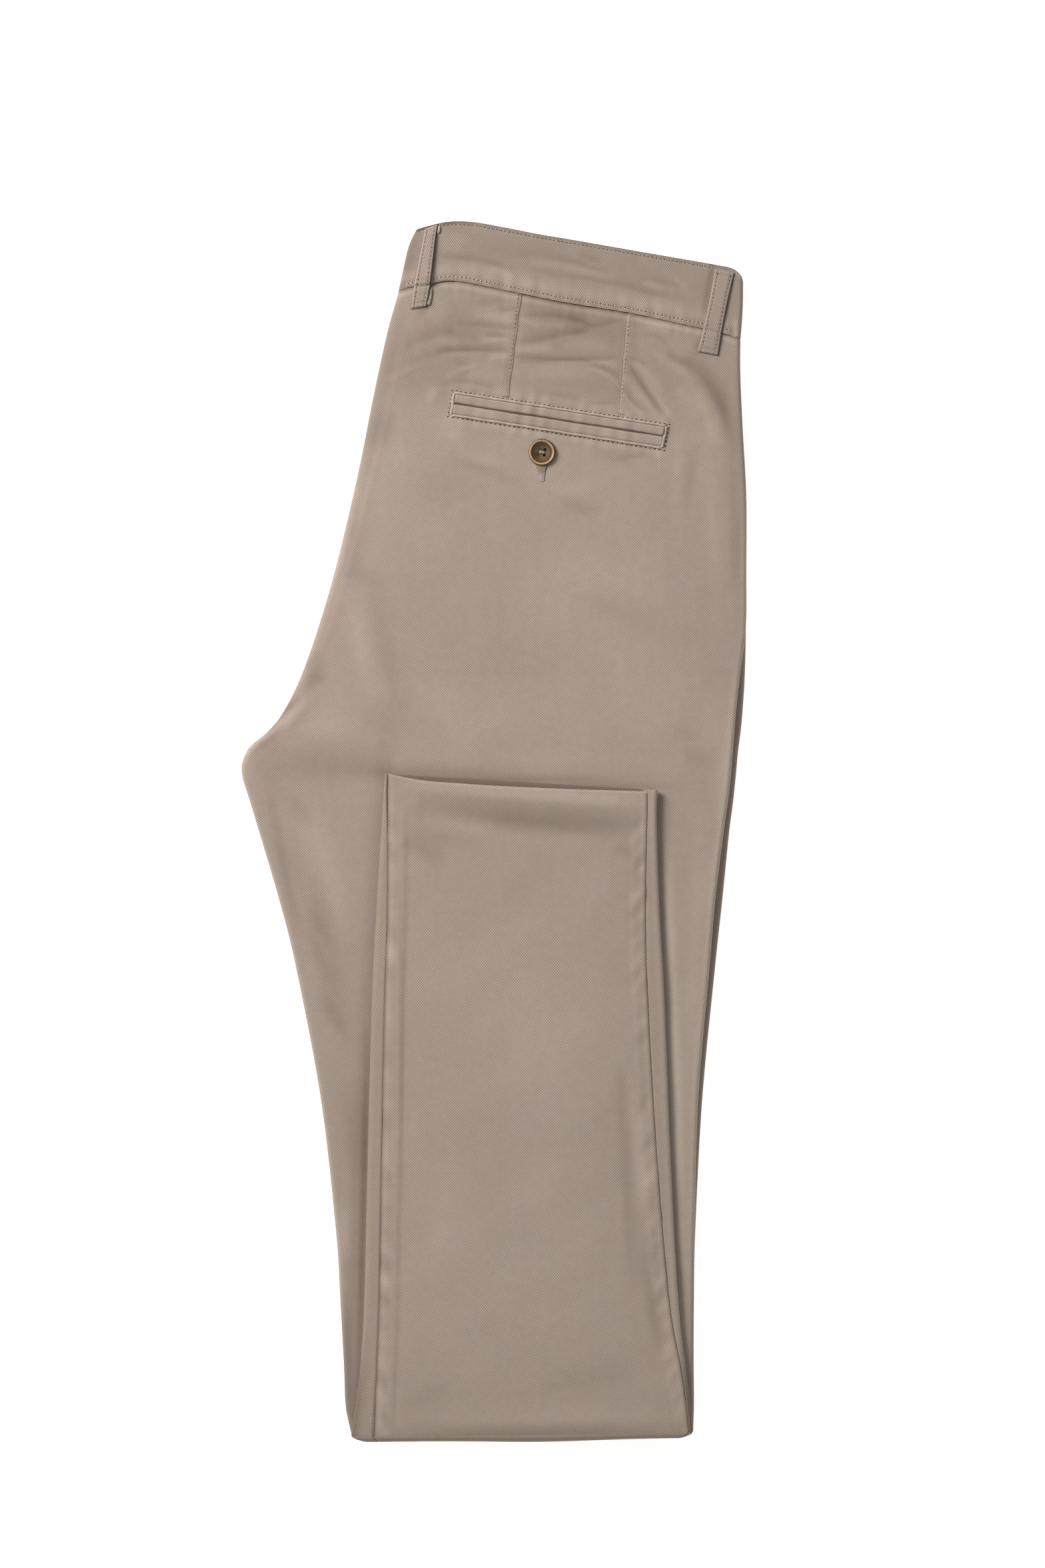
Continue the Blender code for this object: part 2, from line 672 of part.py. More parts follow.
def add_button(finish, thread, collection, cutters):
    """A four-hole button with a raised rim and a dished middle, turned from its profile, and
    the thread that crosses between its holes."""
    x, y = BUTTON_CENTRE
    base = seat_point(x, y, LAYER_GAP)[2]
    radius, height = BUTTON_RADIUS, BUTTON_HEIGHT
    profile = (
        (0.0, height - 1.3), (radius * 0.68, height - 1.2), (radius * 0.78, height - 0.15),
        (radius * 0.88, height), (radius * 0.97, height - 0.5), (radius, height - 1.2),
        (radius * 0.9, 0.3), (radius * 0.8, 0.0), (0.0, 0.0),
    )
    work = bmesh.new()
    verts = [work.verts.new((r * MM, 0, z * MM)) for r, z in profile]
    for a, b in zip(verts, verts[1:]):
        work.edges.new((a, b))
    mesh = bpy.data.meshes.new("button")
    work.to_mesh(mesh)
    work.free()
    button = add_object("button", mesh, finish, collection)
    button.location = (x * MM, y * MM, base * MM)
    screw = button.modifiers.new("Turned", "SCREW")
    screw.steps = screw.render_steps = BUTTON_SIDES
    screw.use_merge_vertices = True
    screw.merge_threshold = 0.00005
    half = BUTTON_HOLE_PITCH / 2
    for i, (dx, dy) in enumerate(((-half, -half), (half, -half), (half, half), (-half, half))):
        hole = bmesh.new()
        bmesh.ops.create_cone(
            hole, cap_ends=True, segments=10, radius1=BUTTON_HOLE * MM,
            radius2=BUTTON_HOLE * MM, depth=3 * height * MM,
        )
        hole_mesh = bpy.data.meshes.new(f"button_hole_{i}")
        hole.to_mesh(hole_mesh)
        hole.free()
        cutter = add_object(f"button_hole_{i}", hole_mesh, finish, cutters)
        cutter.location = ((x + dx) * MM, (y + dy) * MM, base * MM)
        cutter.hide_render = True
        cutter.display_type = "WIRE"
        cut = button.modifiers.new(f"Hole {i}", "BOOLEAN")
        cut.operation = "DIFFERENCE"
        cut.object = cutter
    add_thread(x, y, base + height - 1.25 + 0.3, thread, collection)


def add_thread(x, y, z, finish, collection):
    """The sewing thread's cross, lying in the dish between the four holes."""
    work = bmesh.new()
    bmesh.ops.create_cube(work, size=1)
    bmesh.ops.scale(work, vec=(2.6 * MM, 1.0 * MM, 0.5 * MM), verts=work.verts)
    mesh = bpy.data.meshes.new("button_thread")
    work.to_mesh(mesh)
    work.free()
    thread = add_object("button_thread", mesh, finish, collection)
    thread.location = (x * MM, y * MM, (z + 0.35) * MM)
    bevel = thread.modifiers.new("Soft", "BEVEL")
    bevel.width = 0.15 * MM
    bevel.segments = 1


def main():
    for obj in list(bpy.data.objects):
        bpy.data.objects.remove(obj)
    trousers = bpy.data.collections.new("folded_trousers")
    cutters = bpy.data.collections.new("cutters")
    for collection in (trousers, cutters):
        bpy.context.scene.collection.children.link(collection)
    cloth = material("cloth", CLOTH_COLOUR, 0.9)
    horn = material("button", BUTTON_COLOUR, 0.35)
    thread = material("thread", THREAD_COLOUR, 0.7)

    thigh, fold, turned = right_leg()
    back_rows = [wrapped_ring(st, -1) for st in thigh + fold + turned]
    add_wall("right_back", back_rows, CLOTH, cloth, trousers)
    hem = dict(turned[-1])
    hem["left"] = (hem["left"][0], hem["left"][1] - HEM_STEP)
    hem["right"] = (hem["right"][0], hem["right"][1] - HEM_STEP)
    front_rows = [front_ring(st) for st in thigh[TAIL_ROW:] + fold + turned[:-1] + [hem]]
    add_wall("right_front", front_rows, CLOTH, cloth, trousers)

    thigh, fold, tail = left_leg()
    left_rows = [wrapped_ring(st, 1) for st in thigh + fold + tail]
    add_wall("left_back", left_rows, CLOTH, cloth, trousers)
    add_hidden_layers(cloth, trousers)

    for side in ("right", "left"):
        add_waistband(side, cloth, trousers)
        for name, at_seam, at_top in BELT_LOOPS:
            add_belt_loop(f"{name}_{side}", at_seam, at_top, side, cloth, trousers)
    add_welts(cloth, trousers)
    add_button(horn, thread, trousers, cutters)


main()
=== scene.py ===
# %% [markdown]
# # A pair of chinos, folded flat
# The trousers are halved along the seat seam, so that the right back lies uppermost, and each leg
# is then turned up at the knee. The right leg turns up over its own thigh and shows its front,
# and the left leg turns up inside the stack.
# Cloth like this could be simulated, but a pressed fold is so still that a simulation would mostly
# blur it. Each panel is instead a surface worked out from the pattern's sizes: a flattened tube
# carried down the thigh, round the knee fold and up again, with its creases placed one by one.
# Lengths in this lesson are in millimetres, and become metres only where a mesh is made.

import math

import bmesh
import bpy
import numpy as np
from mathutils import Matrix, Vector


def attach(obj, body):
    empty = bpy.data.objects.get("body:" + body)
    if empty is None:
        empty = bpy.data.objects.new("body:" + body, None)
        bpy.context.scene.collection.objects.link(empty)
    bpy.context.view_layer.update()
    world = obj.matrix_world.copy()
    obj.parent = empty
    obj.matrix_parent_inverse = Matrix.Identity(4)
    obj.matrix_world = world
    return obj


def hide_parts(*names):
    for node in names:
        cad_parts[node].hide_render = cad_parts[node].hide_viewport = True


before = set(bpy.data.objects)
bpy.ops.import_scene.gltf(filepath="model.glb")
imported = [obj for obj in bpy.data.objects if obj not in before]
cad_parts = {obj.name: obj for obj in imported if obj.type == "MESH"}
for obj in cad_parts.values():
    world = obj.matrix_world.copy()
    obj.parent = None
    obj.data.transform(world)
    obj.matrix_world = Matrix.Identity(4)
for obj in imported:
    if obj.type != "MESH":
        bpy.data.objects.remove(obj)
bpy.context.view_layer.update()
MM = 0.001
print("nodes:", len(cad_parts))

# %% [markdown]
# ## The pattern's sizes
# A tailor works from a short list of sizes, and so does this lesson. The first table follows the
# folded half from the waist seam to the knee: where its left and right edges are, and how far the
# cloth rolls at its left edge. The second follows the turned-up leg from the knee to its hem. The
# third gives how far the waist seam and the top edge bow up between their two ends.

# %% Sizes of cloth, folds and layers
CLOTH = 1.2  # wall of a panel
BAND_CLOTH = 2.0  # waistband, interlined
SEAM_GAP = 0.3
TUBE_HALF = 1.4  # middle of a flat leg to the middle of its wall
EDGE_INSET = 0.7
EDGE_REACH = 2.2
SMALL_EDGE = 1.1
UNDER_STRIP = 1.5
FOLD_RADIUS = 2.4
LEFT_FOLD_RADIUS = 2.2
SEAT_LEVEL = 7.1
THIGH_LEVEL = 10.7
WAIST_LIFT = 1.4
SEAT_CROWN = 2.5
LEFT_LEVEL = 2.0
UNDERSIDE_LIFT = 1.6
RAMP_TOP, RAMP_FOOT = 100.0, 45.0  # where the stack climbs from seat to thigh
CROWN_TOP = 160.0
CROTCH_ROWS = (9.0, 11.5)
KNEE_ROW = 22.0
FOLD_INSET = 7.2
FOLD_SAG, SAG_X, SAG_WIDE = 1.2, 30.0, 44.0  # how far a knee fold bellies out, and where
BAND_LEVEL = {"left_back": 2.9, "left_front": 5.4, "right_front": 7.8, "right_back": 10.3}

# %% The first table: the folded half
OUTLINE_COLUMNS = ("left_x", "left_y", "right_x", "right_y", "under_right_x", "roll")
OUTLINE = np.array((
    (-60.1, 339, 154, 308.5, 154, 14),  # waist seam
    (-67.7, 311.5, 154, 286.5, 154, 13),
    (-75.9, 274, 155.5, 253, 155.5, 11),  # back pocket
    (-85.9, 224, 157.8, 209.4, 157.8, 9),
    (-97.6, 174, 157.8, 161.5, 157.8, 8),  # hip
    (-108, 136.5, 157.5, 128, 157.8, 7),
    (-120.8, 99, 153.6, 96, 157, 6.5),
    (-133, 74, 150.9, 72, 155.4, 6),
    (-143.3, 61.5, 150, 60.5, 154.2, 5.5),
    (-153.6, 53, 149.4, 52.5, 153.1, 5),
    (-158.4, 44.5, 148.7, 44.5, 152.3, 4),  # crotch
    (-158.3, 35.5, 148, 35.5, 151.5, 3),
    (-153.5, 19.8, 146.2, 19.8, 149.9, 2.2),
    (-147.2, -1, 143.3, -1, 147.2, 2.2),
    (-134.9, -42.7, 138.2, -42.7, 143, 2.2),
    (-124.5, -84.4, 134.6, -84.4, 138.5, 2.2),
    (-108.8, -167.7, 127.5, -167.7, 130.4, 2.2),
    (-99.3, -251, 125.2, -251, 126, 2.2),
    (-96.7, -292.7, 124.8, -292.7, 125.2, 2.2),
    (-94.6, -330, 124.7, -330, 124.8, 2.2),
    (-94.1, -341, 124.8, -341, 124.8, 2.2),
    (-93.3, -360, 124.9, -358.5, 124.4, 2.2),
    (-89.6, -377.1, 124.4, -374.6, 123.4, 2.2),  # knee fold
))

# %% The second table: the turned-up leg
FLAP_COLUMNS = ("left_x", "left_y", "right_x", "right_y", "left_seam", "right_seam", "crown")
FLAP = np.array((
    (-89.6, -377.1, 124, -374.6, -75.2, 121.4, 0),  # knee fold
    (-86.4, -355, 121.9, -354, -74.2, 119.2, 1),
    (-83.9, -334.4, 119.4, -334.4, -73.3, 116.3, 1.6),
    (-81.4, -292.7, 114.9, -292.7, -71.8, 109.2, 2),
    (-79.3, -205, 110.2, -205, -70.4, 101.6, 2),
    (-76.7, -105.2, 106.4, -105.2, -68.4, 95.8, 2),
    (-74.2, -55, 103.6, -55, -66.8, 94.4, 1.8),
    (-71.2, -5, 101.8, -8, -66.6, 95, 1.4),
    (-69.6, 20, 101.4, 12, -66.9, 95.5, 0.9),
    (-68.6, 36, 101.9, 26, -66.8, 95.4, 0.6),  # hem
))

# %% The third table: how cross lines bow
BOW = np.array((  # share of the width, rise of the waist seam, rise of the top edge
    (0.000, 0, 0),
    (0.036, 3, 3.5),
    (0.093, 6.6, 7.8),
    (0.130, 9.4, 9.4),
    (0.170, 10.5, 10.2),
    (0.250, 9.9, 10.1),
    (0.370, 8.3, 9.3),
    (0.450, 7.2, 9.2),
    (0.690, 6, 8.6),
    (0.830, 3.9, 8.3),
    (0.930, 2.2, 8),
    (0.960, 1.5, 7.8),
    (0.972, 1.1, 7.4),
    (0.980, 0.8, 6.8),
    (0.9875, 0.5, 5.9),
    (0.995, 0.2, 4.1),
    (0.9988, 0, 2.2),
    (1.000, 0, 0),
))
BOW_ROWS = 3.0
BAND_TOP = dict(left_x=-51.9, left_y=376.7, right_x=155.6, right_y=343.9)


# %% Curves through tables
def curve(knots, values, at):
    """Smooth curve through a table: between two knots, a cubic that leaves each with the slope
    of its neighbours."""
    knots, values, at = (np.asarray(a, float) for a in (knots, values, at))
    slope = np.gradient(values, knots)
    i = np.clip(np.searchsorted(knots, at, side="right") - 1, 0, len(knots) - 2)
    wide = knots[i + 1] - knots[i]
    f = np.clip((at - knots[i]) / wide, 0, 1)
    return (
        values[i] * (1 + 2 * f) * (1 - f) ** 2
        + slope[i] * wide * f * (1 - f) ** 2
        + values[i + 1] * f * f * (3 - 2 * f)
        + slope[i + 1] * wide * f * f * (f - 1)
    )


def eased(low, high, value):
    """0 below low, 1 above high, with the smooth step 3f² - 2f³ between."""
    f = np.clip((value - low) / (high - low), 0, 1)
    return f * f * (3 - 2 * f)


def bell(distance, width):
    """1 at distance 0, dying out to both sides as e to the power -(distance / width)²."""
    return np.exp(-(distance / width) ** 2)


def bells(distance, rows):
    """Bells side by side. A row is how far out one stands, its half width and its height."""
    return sum(high * bell(distance - out, wide) for out, wide, high in rows)

# %% Reading the tables
def outline(name, row):
    """A column of the first table, at any row."""
    return curve(np.arange(len(OUTLINE)), OUTLINE[:, OUTLINE_COLUMNS.index(name)], row)


def middle_y(row):
    """Height on the page of the middle of a cross line of the first table."""
    return (outline("left_y", row) + outline("right_y", row)) / 2


def flap(name, row):
    """A column of the second table, at any row."""
    return curve(np.arange(len(FLAP)), FLAP[:, FLAP_COLUMNS.index(name)], row)


def bow(share, row):
    """How far a cross line through a row rises: the table's rise at the waist seam, dying out
    over a few rows below it and growing into the top edge's rise above it."""
    seam = curve(BOW[:, 0], BOW[:, 1], share)
    top = curve(BOW[:, 0], BOW[:, 2], share)
    above = np.clip(-row, 0, 1)
    return np.where(row < 0, seam + (top - seam) * above, seam * (1 - eased(0, BOW_ROWS, row)))


def crown_shape(share):
    """Puffed cloth: 1 over the middle half or so, falling to 0 at both edges."""
    return 1 - np.abs(2 * np.clip(share, 0, 1) - 1) ** 3


def share_of(line, x):
    """How far across a cross line a place is: 0 at its left end, 1 at its right."""
    return (x - line["lx"]) / (line["rx"] - line["lx"])


def line_y(line, share):
    """Height on the page of the straight line between a cross line's ends."""
    return line["ly"] + (line["ry"] - line["ly"]) * share


def straight(start, end, shares):
    """Points of the straight line from start to end, at shares of its length."""
    start, end = np.asarray(start, float), np.asarray(end, float)
    return start + (end - start) * np.reshape(shares, (-1, 1))


rows_fine = np.linspace(0, KNEE_ROW, 2000)
y_fine = middle_y(rows_fine)
print("waist seam to knee fold: %.0f mm" % (y_fine[0] - y_fine[-1]))


# %% [markdown]
# ## Meshes from arrays
# Every panel here is a grid of points: one direction runs along the leg, and the other across
# it. Writing the grid into a mesh as whole arrays is quick, and gives each point its place on the
# cloth as a UV in metres, which the weave later follows round every fold.

# %% Grids to meshes
def grid_faces(rows, columns, wrap):
    """Corner numbers of the quads between neighbouring points of a grid."""
    number = np.arange(rows * columns).reshape(rows, columns)
    right = np.roll(number, -1, axis=1)
    last = columns if wrap else columns - 1
    a, b = number[:-1, :last], right[:-1, :last]
    c, d = right[1:, :last], number[1:, :last]
    return np.stack([a, d, c, b], axis=-1).reshape(-1, 4)


def make_mesh(name, points, faces, uv=None, tone_and_shade=None):
    """A mesh from points in millimetres, faces as corner numbers, and for each point its place
    on the cloth and its tone and shade: above 0 paler, for abraded dye and for painted light,
    below 0 darker, for dark dye and for painted shade."""
    mesh = bpy.data.meshes.new(name)
    mesh.from_pydata((np.asarray(points).reshape(-1, 3) * MM).tolist(), [], faces)
    if uv is not None:
        corner = np.empty(len(mesh.loops), np.int32)
        mesh.loops.foreach_get("vertex_index", corner)
        layer = mesh.uv_layers.new(name="cloth")
        layer.data.foreach_set("uv", (np.asarray(uv).reshape(-1, 2)[corner] * MM).ravel())
    if tone_and_shade is not None:
        layer = mesh.attributes.new("tone_and_shade", "FLOAT", "POINT")
        layer.data.foreach_set("value", np.asarray(tone_and_shade, np.float32).ravel())
    mesh.polygons.foreach_set("use_smooth", np.ones(len(mesh.polygons), bool))
    mesh.update()
    return mesh

# %% Pieces in the scene
def add_object(name, data):
    """A new object in the scene that holds this data."""
    made = bpy.data.objects.new(name, data)
    bpy.context.scene.collection.objects.link(made)
    return made


def add_piece(name, mesh, finish, slot, *nodes):
    """Puts a piece in the scene, on the trousers' one body, in place of its CAD nodes."""
    piece = add_object(name, mesh)
    mesh.materials.append(finish)
    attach(piece, "root")
    if nodes:
        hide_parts(*nodes)
    print(name, len(mesh.polygons), "faces")
    return piece


def give_wall(piece, thickness, rim):
    """Cloth's thickness, half to each side, with its raw edges rounded."""
    wall = piece.modifiers.new("Cloth", "SOLIDIFY")
    wall.thickness = thickness * MM
    wall.offset = 0
    wall.use_even_offset = True
    soft = piece.modifiers.new("Soft rim", "BEVEL")
    soft.width = rim * MM
    soft.segments = 2
    soft.limit_method = "ANGLE"
    soft.angle_limit = math.radians(55)


# %% [markdown]
# ## Shader maths
# A weave is arithmetic: waves added and multiplied. Written with nodes it becomes a maze, so one
# small class lets a socket take part in a Python expression, and each operator adds its Math node.

# %% Sockets that calculate
class Value:
    """A shader socket holding a number. Python's operators on it add Math nodes."""

    def __init__(self, finish, socket):
        self.finish, self.socket = finish, socket

    def maths(self, operation, *others):
        """This value and others through one Math node."""
        return self.finish.maths(operation, self, *others)

    def __add__(self, other):
        return self.maths("ADD", other)

    def __sub__(self, other):
        return self.maths("SUBTRACT", other)

    def __mul__(self, other):
        return self.maths("MULTIPLY", other)

    def __rsub__(self, other):
        return self.finish.maths("SUBTRACT", other, self)

    def __abs__(self):
        return self.maths("ABSOLUTE")

    __radd__, __rmul__ = __add__, __mul__

# %% Materials
class Finish:
    """A material and the nodes that make it."""

    def __init__(self, name, **uniform):
        self.material = bpy.data.materials.new(name)
        self.material.use_nodes = True
        self.tree = self.material.node_tree
        self.shader = self.tree.nodes["Principled BSDF"]
        for socket, value in uniform.items():
            self.shader.inputs[socket.replace("_", " ")].default_value = value

    def node(self, kind, settings=None, inputs=None):
        """A node of this kind: its settings first, then its sockets' values or links."""
        made = self.tree.nodes.new(kind)
        for key, value in (settings or {}).items():
            setattr(made, key, value)
        for key, value in (inputs or {}).items():
            self.feed(made.inputs[key], value)
        return made

    def feed(self, socket, value):
        """Links a socket to another, or gives it a plain value."""
        if isinstance(value, Value):
            value = value.socket
        if isinstance(value, bpy.types.NodeSocket):
            self.tree.links.new(value, socket)
        else:
            socket.default_value = value

    def maths(self, operation, *values):
        """The result of one Math node."""
        made = self.node("ShaderNodeMath", {"operation": operation}, dict(enumerate(values)))
        return Value(self, made.outputs[0])

    def step(self, low, high, value):
        """0 below low, 1 above high, smooth between."""
        made = self.node(
            "ShaderNodeMapRange", {"interpolation_type": "SMOOTHSTEP"},
            {"Value": value, "From Min": low, "From Max": high, "To Min": 0.0, "To Max": 1.0},
        )
        return Value(self, made.outputs["Result"])

    def parts(self, vector):
        """A vector's three components."""
        split = self.node("ShaderNodeSeparateXYZ", inputs={0: vector})
        return [Value(self, split.outputs[i]) for i in range(3)]

    def place(self):
        """Object coordinates, in metres."""
        return self.node("ShaderNodeTexCoord").outputs["Object"]

    def cloth_place(self):
        """The place on the flat cloth, in metres."""
        return self.node("ShaderNodeUVMap", {"uv_map": "cloth"}).outputs[0]

    def attribute(self, name):
        """A mesh's own value at each point, such as its wear."""
        made = self.node("ShaderNodeAttribute", {"attribute_name": name})
        return Value(self, made.outputs["Fac"])

    def noise(self, vector, scale, detail=2.0, roughness=0.5):
        """Soft noise between 0 and 1. scale is how many of its bumps fit in a metre."""
        made = self.node(
            "ShaderNodeTexNoise", {"noise_dimensions": "3D"},
            {"Vector": vector, "Scale": scale, "Detail": detail, "Roughness": roughness},
        )
        return Value(self, made.outputs["Fac"])

    def mix(self, share, low, high):
        """Colour from low to high by share."""
        return self.node("ShaderNodeMix", {"data_type": "RGBA"}, {0: share, 6: low, 7: high}).outputs[2]

    def tinted(self, colour, tint):
        """One colour times another."""
        made = self.node("ShaderNodeVectorMath", {"operation": "MULTIPLY"}, {0: colour, 1: tint})
        return made.outputs[0]

    def done(self, colour, strength, distance, height):
        """Feeds the shader its colour and a bump of this height, and gives the material."""
        bump = self.node("ShaderNodeBump", None,
                         {"Strength": strength, "Distance": distance, "Height": height})
        self.feed(self.shader.inputs["Base Color"], colour)
        self.feed(self.shader.inputs["Normal"], bump.outputs[0])
        return self.material


# %% [markdown]
# ## The cloth
# The cotton has a small raised weave: rows of light thread tips, each row offset by half from the
# one before, joined a little along one diagonal. Real yarn could be modelled thread by thread,
# but there are two hundred thousand tips here, so the weave is two crossed waves in the finish.
# A wave along one diagonal and a weaker one along the other add up to exactly that lattice. Fine
# noise pulls the waves about, as spinning makes yarn uneven, and slow noise fades the dye.

# %% The weave's sizes and colours
TIP_ACROSS, TIP_ALONG = 1.6, 1.67
RIB_WAVE, CROSS_WAVE = 0.33, 0.17  # halves of the two waves' heights, which add up to 1
DYE_DARK = (0.226, 0.171, 0.132)
DYE_LIGHT = (0.420, 0.343, 0.286)
DEEP_SHADE = (0.070, 0.050, 0.036, 1.0)  # the dark in a narrow seam or needle hole
DARK_WEAR_AND_SHADE, PALE_WEAR_AND_LIGHT = (0.60, 0.575, 0.545, 1.0), (1.40, 1.425, 1.455, 1.0)  # dye times this at -1 and at 1 of tone and shade: abrasion, painted shade and painted light
OLIVE, LILAC = (1.0, 1.0, 0.975), (1.0, 0.993, 1.015)

# %% Weave and dye
def dyed(tint, dye, tone):
    """A dye's colour, tinted and made lighter or darker by tone."""
    return tuple(a * b * tone for a, b in zip(tint, dye)) + (1.0,)


def weave(finish, place, turn=0.0):
    """Height of the weave from 0 in a pit to 1 on a thread's tip: a strong wave across the ribs,
    and a weaker one that breaks the ribs into tips."""
    u, v, _ = finish.parts(place)
    cos, sin = math.cos(turn), math.sin(turn)
    across, along = u * cos + v * sin, v * cos - u * sin
    wander = finish.noise(place, 420.0, 1.0) - 0.5
    drift = finish.noise(place, 90.0, 1.0) - 0.5
    shift = wander * 0.00026 + drift * 0.0011
    a = (across + shift) * (2 * math.pi / (TIP_ACROSS * MM))
    b = (along - shift * 0.6) * (2 * math.pi / (TIP_ALONG * MM))
    return (finish.maths("COSINE", a + b) * RIB_WAVE + finish.maths("COSINE", a - b) * CROSS_WAVE
            + 0.5)


def cloth_finish(name, turn=0.0, tone=1.0, depth=1.0):
    """Dyed cotton: the weave's tips paler than its pits, with uneven yarn, slow fading, and
    clouds that lean to olive or to lilac. Its tone and shade, abrasion with painted shade and
    light, make it paler above 0 and darker below 0, down to deep painted shade. depth is how far
    the weave stands out, from 0 to 1."""
    finish = Finish(name, Roughness=0.88, Sheen_Weight=0.12, Sheen_Roughness=0.45,
                    Specular_IOR_Level=0.25)
    uv = finish.cloth_place()
    height = weave(finish, uv, turn)
    yarn = finish.noise(uv, 1500.0, 2.0) - 0.5
    faded = finish.noise(uv, 22.0, 3.0) - 0.5
    patchy = finish.noise(uv, 210.0, 2.0) - 0.5
    light = finish.step(0.05, 0.90, height + yarn * 0.40 + patchy * 0.20)
    tone_and_shade = finish.attribute("tone_and_shade")
    light = light * (0.95 * depth) + faded * 0.12 + (0.02 + 0.5 * (1 - depth))
    cloud = finish.step(0.40, 0.60, finish.noise(uv, 34.0, 3.0) + faded * 0.3)
    pale = finish.mix(cloud, dyed(OLIVE, DYE_LIGHT, tone), dyed(LILAC, DYE_LIGHT, tone))
    dark = finish.mix(cloud, dyed(OLIVE, DYE_DARK, tone), dyed(LILAC, DYE_DARK, tone))
    rubbed_and_shaded = finish.mix(tone_and_shade * 0.5 + 0.5, DARK_WEAR_AND_SHADE, PALE_WEAR_AND_LIGHT)
    colour = finish.tinted(finish.mix(light, dark, pale), rubbed_and_shaded)
    colour = finish.mix(finish.step(0.75, 2.0, tone_and_shade * -1), colour, DEEP_SHADE)
    return finish.done(colour, 0.5 * depth, 0.00016, height * 0.75 + yarn * 0.4)


CLOTH_FINISH = cloth_finish("cotton panel")
BAND_FINISH = cloth_finish("cotton waistband", tone=0.96)
print("weave: %.2f x %.2f mm" % (TIP_ACROSS, TIP_ALONG))


# %% [markdown]
# ## A leg as a flattened tube
# A leg pressed flat is a tube with two walls, joined by a tight round at each edge. Its back
# panel is wider than its front, so the back wraps round both edges to the seams. One cross line,
# or station, holds what the tube needs at one place along the leg, and every quantity is a column
# of numbers, one for each station, so that the whole leg is worked out in one go.

# %% Panels
def add_panel(name, points, uv, tone_and_shade, node, finish=CLOTH_FINISH, thickness=CLOTH, rim=0.35):
    """A panel of cloth from an open grid of points, (rows, columns, 3)."""
    mesh = make_mesh(name, points, grid_faces(*points.shape[:2], False).tolist(), uv, tone_and_shade)
    panel = add_piece(name, mesh, finish, "cloth", node)
    give_wall(panel, thickness, rim)
    return panel


def from_edges(x):
    """Distances from the left and the right end of each row of points."""
    return x - x.min(axis=1, keepdims=True), x.max(axis=1, keepdims=True) - x


# %% Stations along a leg
EDGE_STEPS, STRIP_STEPS = 9, 5


def column(values):
    """One number for each station, as an array with one column."""
    return np.asarray(values, float).reshape(-1, 1)


def seat_middle(row):
    """Level of the right leg's middle: it climbs from the seat to the thigh, over the turned-up
    left leg inside the stack, and a little to the waist seam."""
    y = middle_y(row)
    climbed = 1 - eased(RAMP_FOOT, RAMP_TOP, y)
    lift = WAIST_LIFT * (1 - eased(0, 2.5, row))
    return SEAT_LEVEL + lift + (THIGH_LEVEL - SEAT_LEVEL) * climbed


def seat_crown(row, y):
    """How far the seat puffs up over its level: not at the waist seam, nor below the crotch."""
    return SEAT_CROWN * eased(0, 3, row) * eased(RAMP_FOOT, CROWN_TOP, y)


def left_middle(row):
    """Level of the left leg's middle, lifted a little where it meets the waistband."""
    return LEFT_LEVEL + UNDERSIDE_LIFT * (1 - eased(0.55, 1.6, row))

# %% Stations of the thigh and the turned-up leg
def thigh(row, side):
    """Stations from the waist seam down to the knee fold. side is right for the upper half."""
    row = column(row)
    inseam = eased(*CROTCH_ROWS, row)
    y = middle_y(row)
    upper = side == "right"
    crown = seat_crown(row, y)
    flat = np.zeros_like(row)
    return dict(
        row=row,
        lx=outline("left_x", row) + EDGE_INSET + (0 if upper else 0.8) * inseam,
        ly=outline("left_y", row),
        rx=outline("right_x" if upper else "under_right_x", row) - EDGE_INSET,
        ry=outline("right_y", row),
        middle=seat_middle(row) if upper else left_middle(row),
        out_y=flat, out_z=flat - 1, crown_in=crown if upper else flat, crown_out=flat,
        left_reach=outline("roll", row), right_reach=flat + EDGE_REACH,
        left_strip=flat + UNDER_STRIP, right_strip=flat + UNDER_STRIP,
        seam_height=(seat_middle(row) + left_middle(row)) / 2,
        inseam=inseam, gap=flat + SEAM_GAP, sag=flat,
    )


def turned_up(row):
    """Stations of the right leg from its knee fold up to its hem."""
    row = column(row)
    lx, rx = flap("left_x", row) + EDGE_INSET, flap("right_x", row) - EDGE_INSET
    left_inset, right_inset = flap("left_seam", row) - lx, rx - flap("right_seam", row)
    left_reach = np.clip(left_inset - 0.5, SMALL_EDGE, EDGE_REACH)
    right_reach = np.clip(right_inset - 0.5, SMALL_EDGE, EDGE_REACH)
    flat = np.zeros_like(row)
    return dict(
        row=row, lx=lx, ly=flap("left_y", row), rx=rx, ry=flap("right_y", row),
        middle=flat + THIGH_LEVEL + 2 * FOLD_RADIUS,
        out_y=flat, out_z=flat + 1, crown_in=flat, crown_out=flap("crown", row),
        left_reach=left_reach, right_reach=right_reach,
        left_strip=np.maximum(left_inset - left_reach - SEAM_GAP / 2, 0.3),
        right_strip=np.maximum(right_inset - right_reach - SEAM_GAP / 2, 0.3),
        seam_height=flat, inseam=flat + 1, gap=flat, sag=flat,
    )

